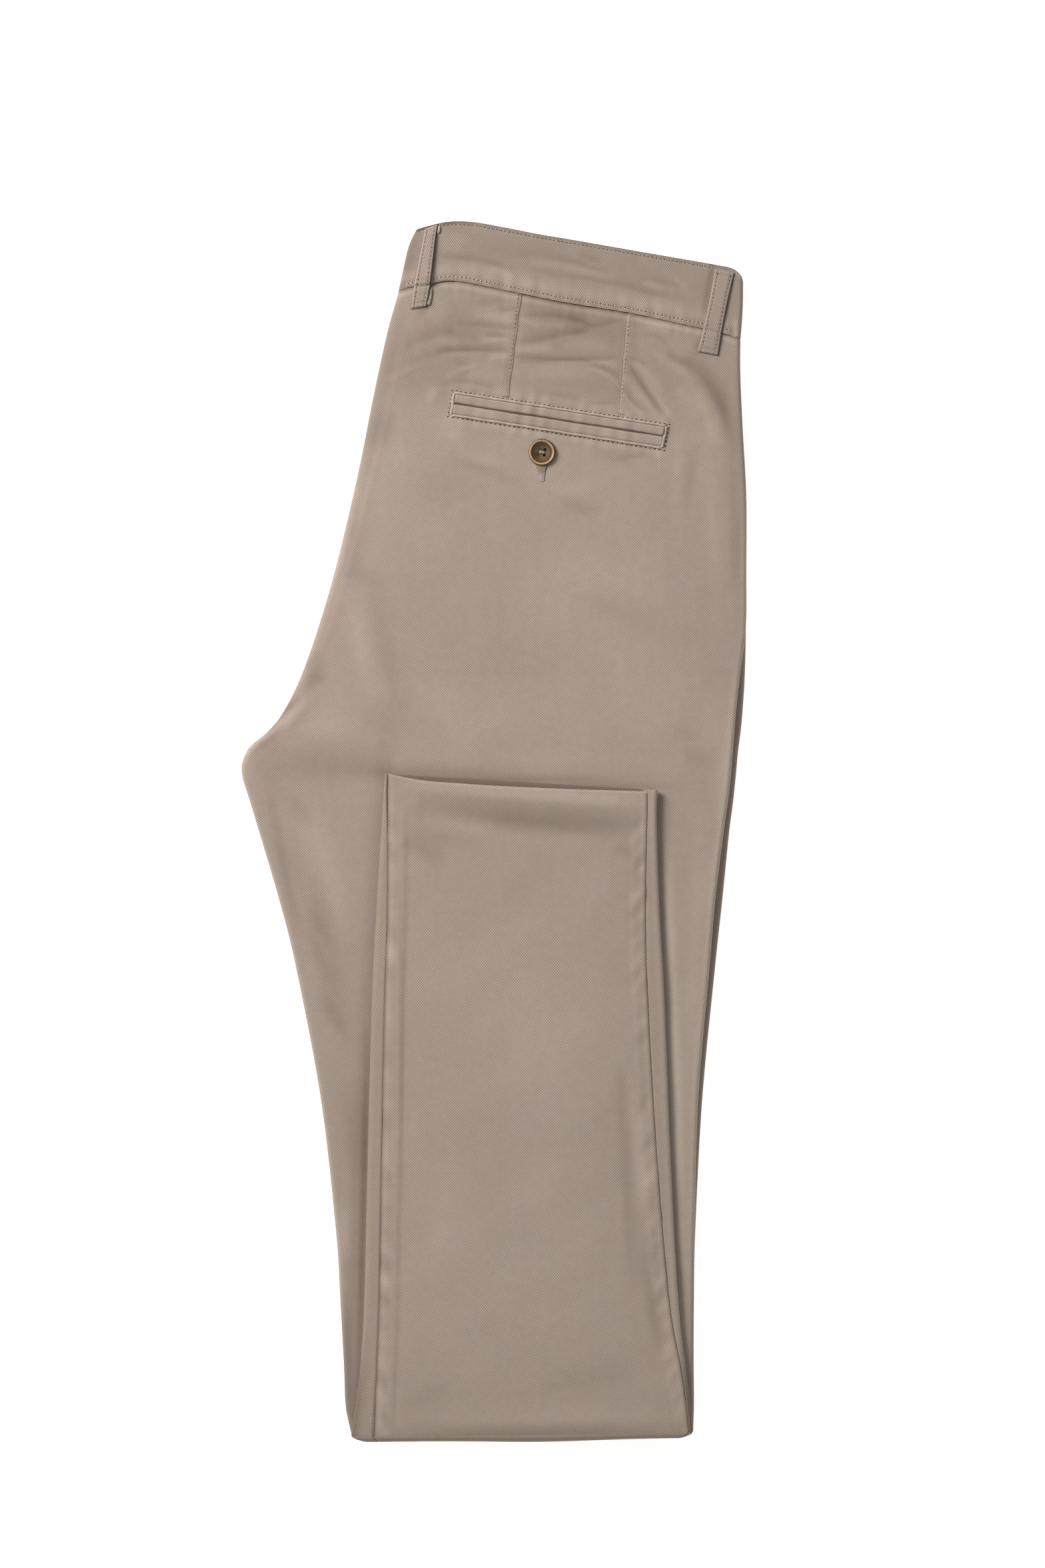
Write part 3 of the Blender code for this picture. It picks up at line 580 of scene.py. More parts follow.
# %% The knee fold
def knee(steps, start, end, radius):
    """Stations round a knee fold: the leg's middle line is half a circle, and the leg narrows by
    the sine squared of the angle."""
    turn = column(np.linspace(0, math.pi, steps + 2)[1:-1])
    f = turn / math.pi
    made = {key: start[key][-1:] + (end[key][:1] - start[key][-1:]) * f for key in start}
    inset = FOLD_INSET * np.sin(turn) ** 2
    made["lx"] = made["lx"] + inset
    made["rx"] = made["rx"] - inset
    made["ly"] = made["ly"] - radius * np.sin(turn)
    made["ry"] = made["ry"] - radius * np.sin(turn)
    made["middle"] = start["middle"][-1:] + radius * (1 - np.cos(turn))
    made["out_y"], made["out_z"] = -np.sin(turn), -np.cos(turn)
    made["gap"] = SEAM_GAP * (1 + np.sin(turn))
    made["sag"] = FOLD_SAG * np.sin(turn)
    made["row"] = made["row"] * 0 + KNEE_ROW
    return made


def joined(*parts):
    """Stations one after the other."""
    return {key: np.concatenate([part[key] for part in parts]) for key in parts[0]}


def rows_every(step, start_y, end_y):
    """Row numbers a step apart between two heights on the thigh."""
    count = max(2, int(round((start_y - end_y) / step)) + 1)
    return np.interp(-np.linspace(start_y, end_y, count), -y_fine, rows_fine)

# %% Walls and edges
def place(st, x, out):
    """World points of a cross section: x across, and out from the leg's middle towards its
    outer wall."""
    share = share_of(st, x)
    y = line_y(st, share)
    on_thigh = (st["out_y"] == 0) & (st["out_z"] < 0)
    y = y + np.where(on_thigh, bow(share, st["row"] + 0 * share), 0)
    y = y - st["sag"] * bell(x - SAG_X, SAG_WIDE)
    return np.stack([x + 0 * y, y + st["out_y"] * out, st["middle"] + st["out_z"] * out], -1)


def wall_out(st, x, wall):
    """Distance of a wall's middle from the leg's middle: 1 is the outer wall, -1 the inner."""
    crown = st["crown_out"] if wall > 0 else st["crown_in"]
    return wall * (TUBE_HALF + crown * crown_shape(share_of(st, x)))


def edge_curve(st, side, wall):
    """Edge of the leg from one wall to the other: half an ellipse, then the flat strip to the
    seam. Where the edge is the seat seam it is a quarter ellipse down to the other half."""
    left = side == "left"
    edge, inward = (st["lx"], 1) if left else (st["rx"], -1)
    reach, strip = st[side + "_reach"], st[side + "_strip"]
    k = np.arange(EDGE_STEPS + STRIP_STEPS)
    turn = math.pi * np.minimum(k, EDGE_STEPS - 1) / (EDGE_STEPS - 1)
    along = np.maximum(k - EDGE_STEPS + 1, 0) / STRIP_STEPS
    x = edge + inward * (reach * (1 - np.sin(turn)) + strip * along)
    out = wall * TUBE_HALF * np.cos(turn) + 0 * x
    over = (k >= EDGE_STEPS - 1) & (st["inseam"] >= 1)
    out = np.where(over, wall_out(st, x, -wall), out)
    if left:
        quarter = (math.pi / 2) * (1 - (1 - k / (len(k) - 1)) ** 2)
        wall_z = st["middle"] + st["out_z"] * wall * TUBE_HALF
        deep = np.abs(st["seam_height"] - wall_z) - SEAM_GAP / 2
        seat_x = edge + reach * (1 - np.sin(quarter))
        seat_out = wall * (TUBE_HALF - deep * (1 - np.cos(quarter)))
        x = seat_x + (x - seat_x) * st["inseam"]
        out = seat_out + (out - seat_out) * st["inseam"]
    out[:, 0:1] = wall_out(st, x[:, 0:1], wall)
    return x, out


def wrapped(st, wall, across):
    """Back panel: its flat wall between the leg's two edges, and the strips round them. across
    holds the flat wall's columns as shares of its width."""
    left_x, left_out = edge_curve(st, "left", wall)
    right_x, right_out = edge_curve(st, "right", wall)
    flat_x = left_x[:, :1] + (right_x[:, :1] - left_x[:, :1]) * across
    x = np.hstack([left_x[:, ::-1], flat_x, right_x])
    out = np.hstack([left_out[:, ::-1], wall_out(st, flat_x, wall), right_out])
    return place(st, x, out)

# %% The cloth's own coordinates
def cloth_uv(points, turn=0.0, mirror=1):
    """Where each point lies on the flat cloth: across, the distance round the leg from its middle
    column, and along, the distance down that column. Both leave out the other's direction, so
    that the grain stays straight. turn leans the grain, and mirror is -1 where the outer face
    looks down."""
    middle = points.shape[1] // 2
    step = np.diff(points, axis=1)
    round_leg = np.cumsum(np.hypot(step[..., 0], step[..., 2]), axis=1)
    across = np.hstack([np.zeros((len(points), 1)), round_leg])
    across = (across - across[:, middle:middle + 1] + points[:, middle:middle + 1, 0]) * mirror
    down = np.diff(points[:, middle], axis=0)
    along = -np.concatenate([[0], np.cumsum(np.hypot(down[:, 1], down[:, 2]))])
    flow = -np.sign(np.gradient(points[:, middle, 1]))[:, None]
    along = along[:, None] + (points[..., 1] - points[:, middle:middle + 1, 1]) * flow
    return turned(across, along, turn)


def turned(across, along, turn):
    """Both directions of the grain, turned by an angle."""
    cos, sin = math.cos(turn), math.sin(turn)
    return np.stack([across * cos + along * sin, along * cos - across * sin], -1)


SEAT_TURN, BAND_TURN = math.radians(3.5), math.radians(-8.9)

# %% [markdown]
# ## Creases
# A pressed pair of trousers still shows where it has been worn and folded. A crease is a soft
# trough or ridge along a line: a bell-shaped section that dies out towards both ends, with one
# flank steeper than the other. Simulation would scatter such creases about, and here each has its
# place, so they are laid one by one, from tables of their ends, bend, half width and height.
# Washing rubs the ridges pale and leaves the troughs darker, so the same strokes, a little
# stronger, also give the dye's abrasion, and with it painted shade in the troughs and painted
# light on the ridges.

# %% Creases as soft strokes
def crease(x, y, x0, y0, x1, y1, bend, half_width, height):
    """Height of one stroke: a bell across the line, steeper on one side, times a taper along it."""
    dx, dy = x1 - x0, y1 - y0
    length = math.hypot(dx, dy)
    t = ((x - x0) * dx + (y - y0) * dy) / length ** 2
    side = ((y - y0) * dx - (x - x0) * dy) / length - bend * 4 * t * (1 - t)
    width = half_width * np.where(side > 0, 1.25, 0.8)
    taper = np.clip(4 * t * (1 - t), 0, 1) ** 0.7
    return height * bell(side, width) * taper


def creases(x, y, table):
    """Height of all the strokes of a table together."""
    total = 0 * x
    for line in table:
        total = total + crease(x, y, *line)
    return total


def rubbed_and_shaded(x, y, table):
    """Abrasion and painted shade from the same strokes: the narrower a crease, the sharper its mark."""
    return sum(1.6 / math.sqrt(line[5]) * crease(x, y, *line) for line in table)

# %% Uneven cloth
def ripple(x, y, seed, size, count=14):
    """Slow unevenness: a sum of waves of about this size, in all directions, from one seed."""
    rng = np.random.default_rng(seed)
    angle = rng.uniform(0, math.pi, count)
    wave = 2 * math.pi / (size * rng.uniform(0.6, 1.9, count))
    phase = rng.uniform(0, 2 * math.pi, count)
    total = 0 * x
    for a, w, p in zip(angle, wave, phase):
        total = total + np.sin((x * math.cos(a) + y * math.sin(a)) * w + p)
    return total / math.sqrt(count)


def pucker(along, away, pitch, reach, seed):
    """Small folds that a row of stitches pulls up: uneven waves along the row, dying out away
    from it as a bell."""
    return ripple(along, 0 * along, seed, pitch, 6) * bell(away, reach)


# %% [markdown]
# ## Where things lie on the seat
# Pocket, darts and stitches are placed by where they lie on the seat, so the surface's height is
# needed at any spot. One cross line of the seat passes through each spot. Halving a range of rows
# again and again finds it, for all the spots at once.

# %% Places on the seat
POCKET_LEFT, POCKET_RIGHT = np.array((-24.8, 267.7)), np.array((105.2, 247.3))
POCKET_LONG = float(np.hypot(*(POCKET_RIGHT - POCKET_LEFT)))
POCKET_ALONG = (POCKET_RIGHT - POCKET_LEFT) / POCKET_LONG
POCKET_UP = np.array((-POCKET_ALONG[1], POCKET_ALONG[0]))
POCKET_MIDDLE = (POCKET_LEFT + POCKET_RIGHT) / 2
SLIT, WELT_UPPER, WELT_LOWER = 0.34, 5.55, 6.25  # gap of the slit, and the welts' widths
DARTS = (  # waist end, pocket end, and the side that the dart's fold is turned to
    ((17.2, 337.5), (8.6, 270.5), -1),
    ((83.0, 326.0), (77.6, 260.0), 1),
)
BUTTON_CENTRE = (29.7, 237.2)


def pocket_place(x, y):
    """Distances along the pocket from its middle, and up from its slit."""
    dx, dy = x - POCKET_MIDDLE[0], y - POCKET_MIDDLE[1]
    return (dx * POCKET_ALONG[0] + dy * POCKET_ALONG[1],
            dx * POCKET_UP[0] + dy * POCKET_UP[1])


def dart_place(x, y, dart):
    """Distances along a dart from its waist end, and out to the side its fold is turned to, and
    the dart's length."""
    (x0, y0), (x1, y1), side = dart
    length = math.hypot(x1 - x0, y1 - y0)
    dx, dy = (x1 - x0) / length, (y1 - y0) / length
    return (x - x0) * dx + (y - y0) * dy, (dx * (y - y0) - dy * (x - x0)) * side, length


def waist_seam_y(x):
    """Height of the waist seam above a place across the seat."""
    lx, rx = OUTLINE[0, 0] + EDGE_INSET, OUTLINE[0, 2] - EDGE_INSET
    share = np.clip((x - lx) / (rx - lx), 0, 1)
    return OUTLINE[0, 1] + (OUTLINE[0, 3] - OUTLINE[0, 1]) * share + bow(share, 0 * share)

# %% Creases of the seat and thigh
SEAT_CREASES = (
    (12, 297, 80, 296, -1.5, 1.5, -0.50),  # across the middle, from dart to dart
    (14, 294, 42, 293, -0.5, 1.5, -0.25),
    (12, 300, 38, 300.5, 0.8, 2.6, 0.36),
    (44, 304, 74, 303, 0, 4, 0.30),
    (10, 287, 68, 285, 0, 6, 0.48),
    (16, 305, 42, 309.5, 0, 3, -0.42),
    (34, 309, 62, 313, 0.5, 1.9, -0.26),
    (13, 321.5, 64, 316, 3.5, 1.8, -0.26),
    (44, 317.5, 60, 313, 0, 5.5, -0.36),
    (55, 315, 80, 320, -0.7, 1.8, -0.24),
    (16, 322, 29, 316, -1.2, 2.4, 0.30),
    (24, 316, 60, 314.5, 0.6, 2.4, 0.24),
    (56, 290, 79, 277, 2.8, 1.5, 0.22),
    (58, 291.5, 79, 283, 2, 1.5, -0.26),
    (60, 294, 80, 290, 0.6, 1.5, 0.24),
    (24, 274, 58, 269, 0.7, 1.9, -0.20),
    (60, 267, 77, 268, 0, 1.6, -0.20),
    (-37, 300, 11, 300, 1.2, 1.7, -0.46),  # left of the first dart
    (-52, 290, -24, 301, 2, 3, -0.28),
    (-26, 293, 0, 299.5, -3.7, 1.6, -0.20),
    (-9, 306, 12, 307, 0.6, 1.9, 0.32),
    (-38, 308, -14, 306, -1.7, 2.6, 0.24),
    (-6, 310, 12, 308.5, 0.5, 1.5, -0.36),
    (-56, 303, -22, 312, 2, 3.5, -0.32),
    (-30, 308, -6, 308, -1, 7, -0.34),
    (-24, 318, 15, 314, 0.3, 1.6, -0.26),
    (-14, 323.5, 14, 319, -0.4, 3.4, 0.36),
    (2, 326, 15, 327, -0.4, 1.8, -0.32),
    (-14, 331, 12, 330, 0, 2.6, -0.22),
    (-31, 283, 0, 297, 0.5, 1.6, 0.22),
    (-4, 295, 11, 297, 0.4, 1.9, 0.34),
    (-70, 281, -35, 300.5, -1.7, 1.8, 0.14),
    (-16, 286, 8, 285, 0, 6.5, 0.40),
    (-33, 279, 2, 276, 3.3, 1.6, -0.24),
    (-40, 318, -26, 329, -1, 6.5, 0.30),
    (-40, 266, -34, 278, 1.3, 3.4, 0.36),
    (-69, 238, -62, 262, 2, 8, -0.32),
    (-48, 322, -36, 331, 0, 3, -0.25),
    (82, 296, 111, 254, -1, 1.8, -0.46),  # from the second dart to the pocket's end
    (82, 298, 109, 267, 2.8, 3.4, 0.40),
    (93, 285, 114, 255, 0, 1.6, 0.20),
    (81, 283.5, 102, 260.5, 0.5, 2.5, 0.32),
    (81, 279, 99, 261.5, -3.5, 1.6, -0.24),
    (80, 275, 92, 260, -0.4, 1.6, 0.20),
    (81, 296, 97, 290, 1.5, 1.6, -0.30),
    (90, 310, 110, 303, 2.8, 1.9, -0.24),
    (97, 316, 112, 312, 0, 3.4, 0.36),
    (108, 299.5, 126, 290, -1, 2.5, -0.42),  # round to the side
    (98, 300, 127, 280, 0.4, 2.6, 0.24),
    (120, 297, 152.5, 234, 6.5, 5, -0.95),
    (128, 277, 141, 240, 0, 4.6, 0.42),
    (116, 279, 131, 258, 0, 7.5, 0.40),
    (108, 226, 113, 270, 4, 4.6, 0.32),
    (134, 256, 143, 150, -1, 7, 0.36),
    (120, 198, 126, 243, -1, 4, -0.22),
    (150, 240, 153, 150, 1, 4.5, -0.45),
    (116, 250, 116, 190, 1, 6, 0.22),
    (-30, 233.5, 22, 213, 1, 3.6, -0.24),  # under the pocket
    (-22, 236, 8, 229, -1.5, 2.6, 0.22),
    (-34, 252, -16, 244, 0, 5, 0.24),
    (42, 205, 70, 200.5, -2.6, 4.6, -0.40),
    (36, 213.5, 62, 214, -2, 4.6, 0.26),
    (60, 235, 90, 228, 1, 3.6, -0.26),
    (76, 232, 101, 234.5, 1.3, 1.6, -0.20),
    (44, 154, 126, 114, -2, 10, -0.30),  # hip
    (40, 168, 112, 142, -2, 12, 0.22),
    (-98, 163, -66, 152, 1, 5, -0.30),
    (-88, 156, -81, 190, 0, 8, -0.26),
    (-74, 157, -54, 70, -3, 7.5, -0.36),
    (-86, 150, -72, 80, -3, 7.5, 0.40),
    (-143, 61, -121, 84, 1, 2.8, -0.70),  # beside the seat seam, at the crotch
    (-134, 60, -112, 86, 1, 4, 0.50),
    (-122, 104, -108, 110, 0, 2.6, -0.30),
    (-119, 92, -104, 96, 0, 2.4, -0.28),
    (-152, 44, -58, 40, -2, 11, -0.50),
    (-117, 64, -80, 63, 0, 9, 0.40),
    (-154, 34, -138, 50, 4.4, 4.6, 0.34),
    (-140, 39, -138, 12, 0, 6.5, -0.35),
    (-140, 22, -122, -66, 0, 3.4, -0.42),  # thigh, left of the turned-up leg
    (-128, 20, -112, 2, 0, 3.4, -0.35),
    (-131, -6, -88, -150, 7, 8.5, -0.50),
    (-121, -46, -104, -92, 0, 8, -0.25),
    (-118, 12, -90, -74, 4, 9, 0.40),
    (-113, -60, -99, -88, 0, 3.4, 0.30),
    (-108, -104, -92, -130, 1, 4, -0.40),
    (-94, -148, -86, -218, 1.4, 8.5, -0.45),
    (-95, -232, -92, -270, 0, 6.5, 0.50),
    (112, 62, 132, 58, 0, 4, -0.28),
    (118, 46, 140, 40, 0, 6, -0.38),
)

# %% Their light and dark: dye that differs, painted shade and painted light
SEAT_DYE_AND_SHADE = (  # slow light and dark, as strokes with no height: dye, painted shade and painted light
    (104, 290, 118, 232, 4, 12, 0.06),
    (-64, 250, -84, 190, 0, 14, 0.16),
    (-90, 190, -124, 108, -4, 11, 0.18),
    (-60, 130, -30, 60, 0, 22, 0.06),
    (-40, 230, 110, 196, 4, 22, 0.05),
    (-148, 36, 20, 38, 0, 9, -0.16),
    (157, 250, 154, 80, 0, 7, -0.15),
    # painted light on the right rolled edge, where the lamp's light is lost
    (150, 90, 126, -260, 0, 6, 0.60),
    (-112, -20, -104, -130, 0, 6, -0.25),
    # painted shade at the knee fold's two corners
    (-94, -290, -89, -430, 0, 5, -0.60),
    (127, -310, 124, -450, 0, 5, -1.40),
    (-66, 346, -80, 236, 0, 12, -0.22),
    # painted shadow beside the side loop's tail
    (131, 314, 126.5, 297, 0, 4, -0.60),
    (20, 170, 120, 80, 0, 45, 0.22),
    (-60, 214, 0, 214, 0, 14, -0.12),
    (-100, 74, -30, 64, 0, 10, -0.16),
    (8, 324, 92, 310, 3, 17, -0.50),
    (-50, 318, 6, 314, 3, 16, -0.30),
    (-74, 296, 162, 268, 4, 22, -0.38),
    (-56, 360, -88, 214, 0, 7, -0.48),  # painted shade on the rolled edge
    (-62, 282, -18, 276, 0, 16, -0.24),
    (-76, 262, -98, 150, 0, 6, -0.34),
    (-108, 108, -160, 44, 0, 6.5, -0.66),
    (-98, 166, -121, 96, 0, 5, -0.50),
    (-68, 90, -98, -430, 0, 6, -0.46),  # painted shadow beside the turned-up leg and above its hem, painted light in its cast shadow
    (-86, 37, 118, 27, 0, 3.2, -0.70),
    (-84, 47, 150, 42, 0, 4.5, 0.16),
    (106.3, -20, 121.6, -380, 0, 3.2, 0.70),
    (106.8, 10, 114.2, -230, 0, 2.8, 0.80),
    (-79.6, -120, -86.4, -395, 0, 2.4, -0.80),
    (130, 20, 119, -220, 0, 8, 0.22),
    (-124, 24, -98, -140, 0, 13, 0.14),
)

print("strokes on the seat and thigh:", len(SEAT_CREASES) + len(SEAT_DYE_AND_SHADE))

# %% Relief, wear and painted shade of the seat
# Rows of bells: out from the waist seam, up from the slit, and aside from a dart's seam.
WAIST_RELIEF = ((0, 1.5, -0.30), (3.6, 1.4, 0.16))
# painted shade in the waist seam and just below it, and a paler ridge below that
WAIST_SHADE_AND_WEAR = ((0, 1.2, -1.10), (0, 16, -0.12), (3.6, 1.3, 0.40))
POCKET_RELIEF = ((10.5, 3.2, 0.32), (-12, 3.4, 0.32))
DART_RELIEF = ((0, 1.9, -0.26), (3.6, 2.4, 0.22))


def beside_pocket(p):
    """1 along the pocket's length, dying out past its two ends."""
    return bell(np.maximum(np.abs(p) - POCKET_LONG / 2, 0), 4)


def pocket_pucker(p, q):
    """Small folds above and below the pocket's stitches."""
    return pucker(p, np.maximum(np.abs(q) - 9, 0), 6.5, 5.0, 17)


def seat_relief(x, y):
    """Creases of the seat and thigh, the dip at the waist seam, the swell of the cloth round the
    pocket and the darts, and the small folds along their stitches."""
    below = waist_seam_y(x) - y
    p, q = pocket_place(x, y)
    height = (
        creases(x, y, SEAT_CREASES) + 0.15 * ripple(x, y, 11, 46) + 0.05 * ripple(x, y, 5, 17)
        + bells(below, WAIST_RELIEF) + 0.12 * pucker(x, np.maximum(below - 2, 0), 9, 7, 31)
        + beside_pocket(p) * (bells(q, POCKET_RELIEF) + 0.13 * pocket_pucker(p, q))
    )
    for number, dart in enumerate(DARTS):
        along, side, length = dart_place(x, y, dart)
        inside = eased(-4, 2, along) * (1 - eased(length - 4, length + 2, along))
        folds = 0.11 * pucker(along, side - 2.6, 7, 6, 41 + number)
        height = height + inside * (bells(side, DART_RELIEF) + folds)
    return height


def seat_wear_and_shade(x, y):
    """Rubbed pale on ridges and beside the pocket's edge and darker in troughs, with painted shade
    in the troughs and at the waist seam, and the slow strokes of dye, painted shade and light.
    """
    p, q = pocket_place(x, y)
    return (
        rubbed_and_shaded(x, y, SEAT_CREASES) + creases(x, y, SEAT_DYE_AND_SHADE)
        + bells(waist_seam_y(x) - y, WAIST_SHADE_AND_WEAR)
        + 0.10 * beside_pocket(p) * (bell(np.abs(q) - 10.5, 2.6) + pocket_pucker(p, q))
    )

# %% Height of the seat at any spot
def find_row(stations, x, y, low, high, rising):
    """Row whose cross line passes through each spot, by halving the range of rows."""
    low, high = np.full(x.shape, float(low)), np.full(x.shape, float(high))
    for _ in range(26):
        row = (low + high) / 2
        st = stations(row)
        share = share_of(st, x)
        line = line_y(st, share) + st["rise"](share, row)
        onward = (line < y) if rising else (line > y)
        low, high = np.where(onward, row, low), np.where(onward, high, row)
    return (low + high) / 2


def seat_line(row):
    """Ends of the seat's cross line through a row, and how it rises between them."""
    return dict(
        lx=outline("left_x", row) + EDGE_INSET, rx=outline("right_x", row) - EDGE_INSET,
        ly=outline("left_y", row), ry=outline("right_y", row), rise=bow,
    )


def seat_height(x, y):
    """Height of the seat panel's outer face."""
    x, y = np.broadcast_arrays(np.asarray(x, float), np.asarray(y, float))
    row = find_row(seat_line, x, y, 0.0, KNEE_ROW, False)
    st = seat_line(row)
    crown = seat_crown(row, (st["ly"] + st["ry"]) / 2)
    wall = seat_middle(row) + TUBE_HALF + crown * crown_shape(share_of(st, x))
    inside = np.minimum(x - st["lx"], st["rx"] - x)
    return wall + seat_relief(x, y) * eased(1.0, 9.0, inside) + CLOTH / 2


print("pocket: %.0f mm long" % POCKET_LONG)

# %% [markdown]
# ## The right back panel
# The largest piece: seat, thigh, the inside of the knee fold, and the strips that wrap round the
# turned-up leg. It is one pattern piece on the real trousers, so it is one grid here.

# %% Lift of the turned-up leg
def flap_lift(x, y):
    """How far the turned-up leg springs off the thigh: most at its hem's right corner, a little
    at the left, with a few soft waves along its edges."""
    wave = 0.5 * np.sin(y / 17) + 0.25 * np.sin(y / 9.3 + 1)
    lift = (
        0.8 * bell(x - 108, 30) * eased(-70, 34, y) + 0.8 * bell(x + 70, 20) * eased(-20, 34, y)
        + 0.3 * wave * bell(x - 110, 14) * (1 - eased(10, 30, y))
        + 0.3 * np.sin(y / 21 + 2) * bell(x + 78, 10)
    )
    return lift * eased(-372, -330, y)

# %% Creases of the turned-up leg
FLAP_CREASES = (
    (-48, 18, 94, -2, -3, 8.5, -0.95),  # trough below the hem
    (34, 12, 96, 2, -1, 6.5, -0.26),
    (-60, 28.5, 96, 17, -1, 5.5, 0.66),  # the hem's own ridge
    (-57, -6, -30, -24, 1, 5, -0.45),
    (-44, 6, 0, 0, -1, 7, 0.40),
    (76, -10, 93, -22, 1, 4.5, -0.45),
    (86, -150, 95, -245, 0, 4.2, 0.45),
    (80, -140, 88, -290, 0, 5.5, -0.42),
    (22, -240, 44, -200, 0, 12, 0.35),
    (-20, -190, -34, -290, 0, 14, 0.32),
    (-60, -362, -24, -352, 2, 6, -0.35),
    (92, -262, 106, -328, 1, 5.5, -0.55),
    (99, -270, 113, -340, 1, 4, 0.40),
    (30, -350, 90, -342, 3, 8, -0.35),
    (-40, -368, 112, -364, 0, 5, 0.50),  # the ridge above the fold
)
# Strokes with no height: dye that differs, painted shade below the hem, painted light on its ridge
FLAP_DYE_AND_SHADE = (
    (-76, -377.5, 124, -376, 0, 5, -0.65),  # painted shade along the fold
    (-75, -290, 118, -290, 0, 80, 0.12),
    (-56, 14, 96, 4, -2, 8, -0.30),
    (-54, 2, -6, -8, 0, 9, -0.20),
    (-56, -4, -28, -14, 0, 10, -0.16),
    (30, 22, 98, 17, 0, 4, 0.14),
    (-20, -60, 60, -180, 0, 50, 0.22),
    (-58.5, -30, -58, -240, 0, 1.6, -0.30),
)
FLAP_SEAM_SHADE_AND_WEAR = ((0, 0.9, -1.4), (2.6, 1.3, 0.16))  # rows of bells, in from a seam: painted shade in it, paler cloth beside it

# %% Seams of the turned-up leg
def flap_seams(y):
    """Where the two seams of the turned-up leg are, at each height."""
    rows = np.linspace(0, len(FLAP) - 1, 200)
    height = (flap("left_y", rows) + flap("right_y", rows)) / 2
    return [np.interp(y, height, flap(side + "_seam", rows)) for side in ("left", "right")]


def allowances(x, y):
    """For each seam: distance from it, its allowance's width, and the little folds across it."""
    left, right = flap_seams(y)
    for from_seam, wide, seed in ((x - left, 11.0, 51), (right - x, 9.5, 52)):
        slanted = y + 0.8 * from_seam
        folds = pucker(slanted, from_seam - wide / 2, 11.0, 4.4, seed)
        bunches = pucker(slanted, np.abs(from_seam - 3.0), 19.0, 3.2, seed + 6)
        yield from_seam, wide, folds, bunches


def flap_relief(x, y):
    """Creases of the turned-up leg, the dips at its two seams, and the print of the seam
    allowances underneath, with the little folds across them."""
    height = creases(x, y, FLAP_CREASES) + 0.16 * ripple(x, y, 21, 60) + 0.05 * ripple(x, y, 8, 19)
    below_hem = 1 - eased(-10, 22, y)
    for from_seam, wide, folds, _ in allowances(x, y):
        print_through = 0.36 * (1 - eased(wide - 1.6, wide + 1.8, from_seam))
        height = height - 0.20 * bell(from_seam, 1) + (print_through + 0.34 * folds) * below_hem
    return height


def flap_wear_and_shade(x, y):
    """Pale on the ridges and beside the seams, with painted shade in the seams, at the allowances'
    edges and in the troughs, and the slow strokes of dye, painted shade and light.
    """
    worn_and_shaded = 0.8 * rubbed_and_shaded(x, y, FLAP_CREASES) + creases(x, y, FLAP_DYE_AND_SHADE)
    below_hem = 1 - eased(-10, 22, y)
    for from_seam, wide, folds, bunches in allowances(x, y):
        allowance_edge_shade = bell(from_seam - wide - 0.8, 1.3)
        worn_and_shaded = worn_and_shaded + bells(from_seam, FLAP_SEAM_SHADE_AND_WEAR)
        worn_and_shaded = worn_and_shaded + 0.14 * (folds - bunches - allowance_edge_shade) * below_hem
    return worn_and_shaded


# %% Right back panel
ACROSS = np.linspace(0, 1, 150)[1:-1]
WAIST_ROWS = ((2.0, 0.1), (0.45, 0.3))  # of the seam allowance: how far up, and share of its depth


def right_leg():
    """Stations of thigh and turned-up leg, closest together from the waist to the pocket."""
    stretches = ((1.15, y_fine[0] - 0.6, 236.0), (2.2, 236.0, 196.0), (4.4, 196.0, 24.0))
    fine = [thigh(rows_every(*stretch)[:-1], "right") for stretch in stretches]
    start = joined(thigh([0.0], "right"), *fine, thigh(rows_every(7.5, 24.0, y_fine[-1]), "right"))
    return start, turned_up(np.linspace(0, len(FLAP) - 1, 62))


def lay_thigh(points):
    """Adds the creases to the seat and thigh, dying out at the rolled edges. Returns the tone and
    shade: abrasion and painted shade, with painted light along the right edge, where the lamp's
    light is lost."""
    x, y = points[..., 0], points[..., 1]
    from_left, from_right = from_edges(x)
    inside = np.minimum(from_left, from_right)
    upper = points[..., 2] > points[..., 2].max(axis=1, keepdims=True) - 5.5
    points[..., 2] += seat_relief(x, y) * eased(1.0, 9.0, inside) * upper
    # painted light along the right rolled edge
    edge = 0.8 * bell(from_right, 2.5) * eased(-330, -200, y) * (1 - eased(170, 240, y))
    return upper * (seat_wear_and_shade(x, y) * eased(0.0, 4.0, from_right) + edge)


def lay_turned_up(points):
    """Lifts the strips round the turned-up leg. Returns painted shade and light: shade on the far
    layer that shows above the hem, along the left edge and the left seam, and at the knee fold's
    corners, and painted light along the right edge above the knee fold."""
    x, y = points[..., 0], points[..., 1]
    points[..., 2] += flap_lift(x, y)
    left, right = flap_seams(y)
    between = eased(1, 4, x - left) * eased(1, 4, right - x)
    from_left, from_right = from_edges(x)
    low = 1 - eased(-366, -300, y)
    return (
        -0.02 - 1.20 * eased(12, 22, y) * between - 0.45 * bell(from_left, 1.6)
        + (0.8 - 2.0 * low) * bell(from_right, 2.6) - 0.7 * low * bell(from_left, 4.0)
        - 0.9 * bell(left - x, 0.7) - 0.16 * (x < left)
    )


def tucked_under(points, tone_and_shade):
    """The seam allowance at the waist: two more rows, which step down and run on under the band,
    dark with painted shade.
    """
    first = points[0]
    centre, level = ((first.min(axis=0) + first.max(axis=0)) / 2)[[0, 2]]
    rows = []
    for up, share in WAIST_ROWS:
        row = first + (0.0, up, 0.0)
        row[:, 0] = centre + (row[:, 0] - centre) * 0.985
        row[:, 2] = level + (row[:, 2] - level) * share
        rows.append(row)
    return np.concatenate([rows, points]), np.concatenate([tone_and_shade[:2] * 0 - 1.0, tone_and_shade])

